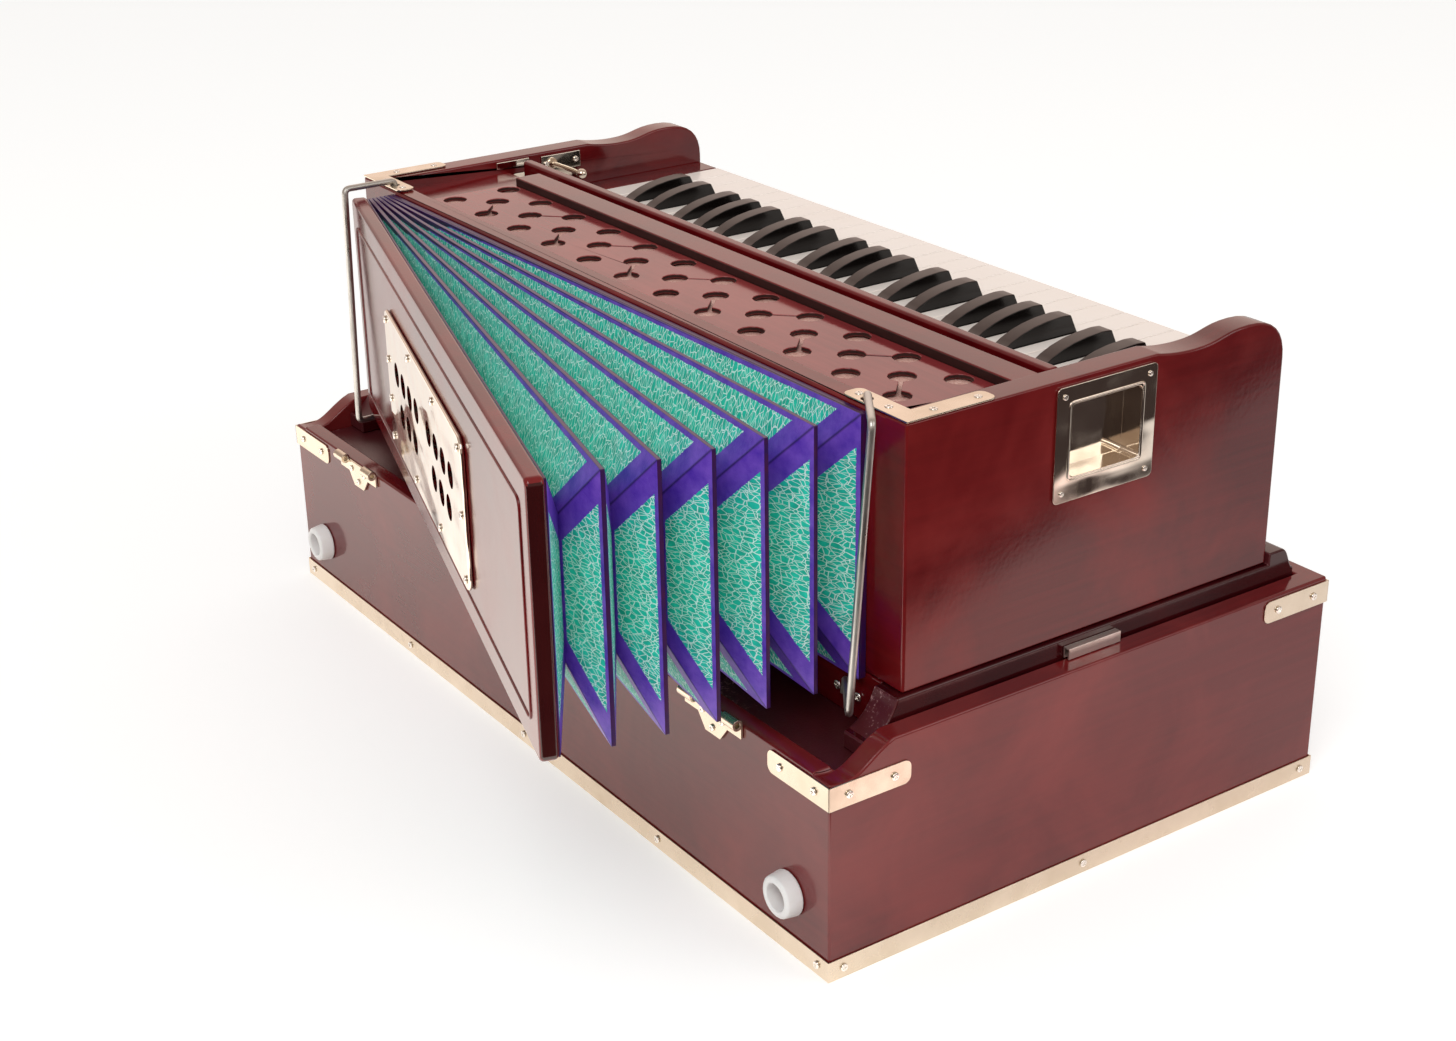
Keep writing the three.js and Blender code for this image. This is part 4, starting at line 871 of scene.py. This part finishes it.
width, tall = bellows_x[1] - bellows_x[0], bellows_z[1] - bellows_z[0]
centre_x, centre_z = sum(bellows_x) / 2, sum(bellows_z) / 2
spans = 12
for fold in range(1, folds + 1):
    # the four walls of a box, folded in along the middle
    pleat = block(f"bellows_pleat_{fold}", bellows_x, (-1, 1), bellows_z)
    pick(pleat, "FACE", lambda face: abs(face.normal.y) > 0.9)
    bpy.ops.mesh.delete(type="FACE")
    bpy.ops.mesh.select_all(action="SELECT")
    bpy.ops.mesh.bisect(plane_co=(0, 0, 0), plane_no=(0, 1, 0))
    pick(pleat, "VERT", lambda vertex: abs(vertex.co.y) < 0.1)
    bpy.ops.transform.resize(value=((width - 2 * depth) / width, 1, (tall - 2 * depth) / tall))
    # cuts along the length, so that the twist of the open leaves is shared out
    for i in range(1, spans):
        bpy.ops.mesh.select_all(action="SELECT")
        bpy.ops.mesh.bisect(plane_co=(hinge_x - reach * i / spans, 0, 0), plane_no=(1, 0, 0))
    bpy.ops.mesh.select_all(action="SELECT")
    bpy.ops.mesh.bisect(plane_co=(0, 0, centre_z), plane_no=(0, 0, 1))
    bpy.ops.object.mode_set(mode="OBJECT")
    mesh = pleat.data
    flat = [vertex.co.copy() for vertex in mesh.vertices]
    while mesh.uv_layers:
        mesh.uv_layers.remove(mesh.uv_layers[0])
    mesh.uv_layers.new(name="leaf")
    mesh.attributes.new("edges", "FLOAT_VECTOR", "CORNER")
    uv, edges = mesh.uv_layers["leaf"], mesh.attributes["edges"]
    for face in mesh.polygons:
        across_top = abs(face.normal.z) > abs(face.normal.x)
        for loop in face.loop_indices:
            co = flat[mesh.loops[loop].vertex_index]
            inward = 1 - abs(co.y)
            along = co.x if across_top else co.z
            from_end = (width / 2 - abs(along - centre_x) if across_top
                        else tall / 2 - abs(along - centre_z))
            # distance from the mitre, which runs in by the depth of the fold
            mitre = (abs(from_end * leaf_width - inward * leaf_width * depth)
                     / math.hypot(leaf_width, depth))
            edges.data[loop].vector = (mitre, inward * leaf_width, (1 - inward) * leaf_width)
            # each leaf lies on its own part of the pattern
            uv.data[loop].uv = (along + 0.37 * fold, inward * leaf_width * (1 if co.y < 0 else -1)
                                + (0.2 if across_top else 0.5))
    # opened out: each line of the pleat turns with its own plane of the fan
    for vertex, co in zip(mesh.vertices, flat):
        share = (co.y + 1) / 2
        offset = rib_half * (1 - 2 * share) * 0.9
        vertex.co = plane_turn(fold - 1 + share) @ Vector((co.x, offset, co.z))
    pleat.data.materials.append(card)
    alone(pleat)
    bpy.ops.object.shade_smooth_by_angle(angle=math.radians(20))
    seat(pleat, rib_bodies[fold], "bellows_card", f"fold_{fold}")
    turn = plane_turn(fold)
    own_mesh(pleat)
eased("bellows_frame", rib_paint, "bellows_tape", 0.0005)

# Pump board
# A thick lacquered board with rounded edges and a raised bead round its face. A chromed plate
# over its air holes is fixed by eleven screws round the edge.
pump_turn = (Matrix.Translation((hinge_x, fan_y + folds * pitch, 0))
             @ Matrix.Rotation(-folds * fold_turn, 4, "Z"))
plate_x, plate_z = (-0.375, -0.128), (0.16705, 0.25955)
hole_radius, hole_pitch, cluster_offset, row_offset = 0.0079, 0.0225, 0.0535, 0.0121


def pierced_board(name, finish, x, y, z, corner, easing):
    """A board lying along X with rounded corners and eased edges, bored through its air holes."""
    board = block(name, x, y, z)
    round_corners(board, corner, lambda a, b: abs(a.y - b.y) > 1e-5)
    round_edges(board, easing, 4)
    bores = []
    for cluster in (-cluster_offset, cluster_offset):
        for row, count in ((row_offset, 4), (-row_offset, 3)):
            for i in range(count):
                bpy.ops.object.select_all(action="DESELECT")
                bpy.ops.mesh.primitive_cylinder_add(
                    vertices=40, radius=hole_radius, depth=0.03, rotation=(math.pi / 2, 0, 0),
                    location=(sum(plate_x) / 2 + cluster + (i - (count - 1) / 2) * hole_pitch,
                              0.005, sum(plate_z) / 2 + row))
                bores.append(bpy.context.object)
    combine(board, joined(bores), "DIFFERENCE")
    bpy.ops.object.shade_smooth_by_angle(angle=math.radians(35))
    modify(board, "WEIGHTED_NORMAL", weight=100, keep_sharp=True)
    board.data.materials.clear()
    board.data.materials.append(finish)
    board.data.transform(pump_turn)
    return board


board_end, board_top = -reach - 0.005, bellows_z[1] + 0.0024
board_face, plate_face = 0.0103, 0.0132
board = pierced_board("pump_board_finished", mahogany_x, (board_end, lap), (0.0003, board_face),
                      (bellows_z[0], board_top), 0.0045, 0.0024)
# its two ends are painted darker: painted shade, as little light reaches them
shaded_ends = lacquered("lacquered_mahogany_end_grain", "Z", "#230405", "#330709", "#400c0d")
along_board = pump_turn.to_3x3() @ Vector((1, 0, 0))
repaint(board, shaded_ends, lambda face: abs(face.normal.dot(along_board)) > 0.8)
seat(board, "pump", "lacquered_mahogany", "pump_board")
inset = 0.0165
left, right = board_end + inset, lap - inset
bottom, top = bellows_z[0] + inset, board_top - inset
bead = rod("pump_board_bead", [
    pump_turn @ Vector((x, board_face, z)) for x, z in
    ((left, bottom), (right, bottom), (right, top), (left, top))], 0.0009, True, 0.006)
bead.data.materials.append(mahogany_x)
seat(bead, "pump", "lacquered_mahogany")
plate = pierced_board("pump_plate_finished", chrome, plate_x, (0.0106, plate_face), plate_z,
                      0.009, 0.0011)
seat(plate, "pump", "chrome", "pump_plate")
columns = (-0.135, -0.214, -0.292, -0.368)
screwed("pump_plate_screws", "pump",
        [pump_turn @ Vector((x, plate_face, z)) for x, z in
         [(x, 0.253) for x in columns] + [(-0.135, 0.2265), (-0.135, 0.2), (-0.368, 0.213)]
         + [(x, 0.174) for x in columns]], pump_turn.to_3x3() @ Vector((0, 1, 0)))

# Bails
# Stiff plated wire bent to a long stirrup, pinned in the top and in a clip on the plinth, that
# swings over the pump's end to hold it shut. The bass one is swung free, the treble one holds.
wire_metal = plated_steel("plated_wire", "Z", "#d2d3cf", "#b4b4ae", 0.34)
wire_radius, wire_reach, upper_pin, lower_pin = 0.0022, 0.0416, 0.0045, 0.009
clip_face, clip_z = 0.1241, 0.1285
for side, sign, turn in (("left", -1, 55), ("right", 1, 9.7)):
    upper = Vector((sign * 0.264, 0.119, 0.3014))
    lower = Vector((sign * 0.257, 0.1265, 0.137))
    axis = (upper - lower).normalized()
    arm = Vector((0, 1, 0)) - axis * axis.y
    arm = Matrix.Rotation(math.radians(turn), 3, axis) @ (arm.normalized() * wire_reach)
    # both pins point down, and the upper one only just enters the top
    bail = rod(f"bail_{side}_wire", [
        upper - axis * upper_pin, upper, upper + arm, lower + arm, lower,
        lower - axis * lower_pin], wire_radius, False, 0.004, 8)
    bail.data.materials.append(wire_metal)
    seat(bail, f"bail_{side}", "plated_metal", f"bail_{side}")
    screwed(f"bail_clip_screws_{side}", "harmonium",
            [(sign * x, clip_face, clip_z) for x in (0.248, 0.266)], (0, 1, 0), 1.1)

bpy.data.objects.remove(screw)
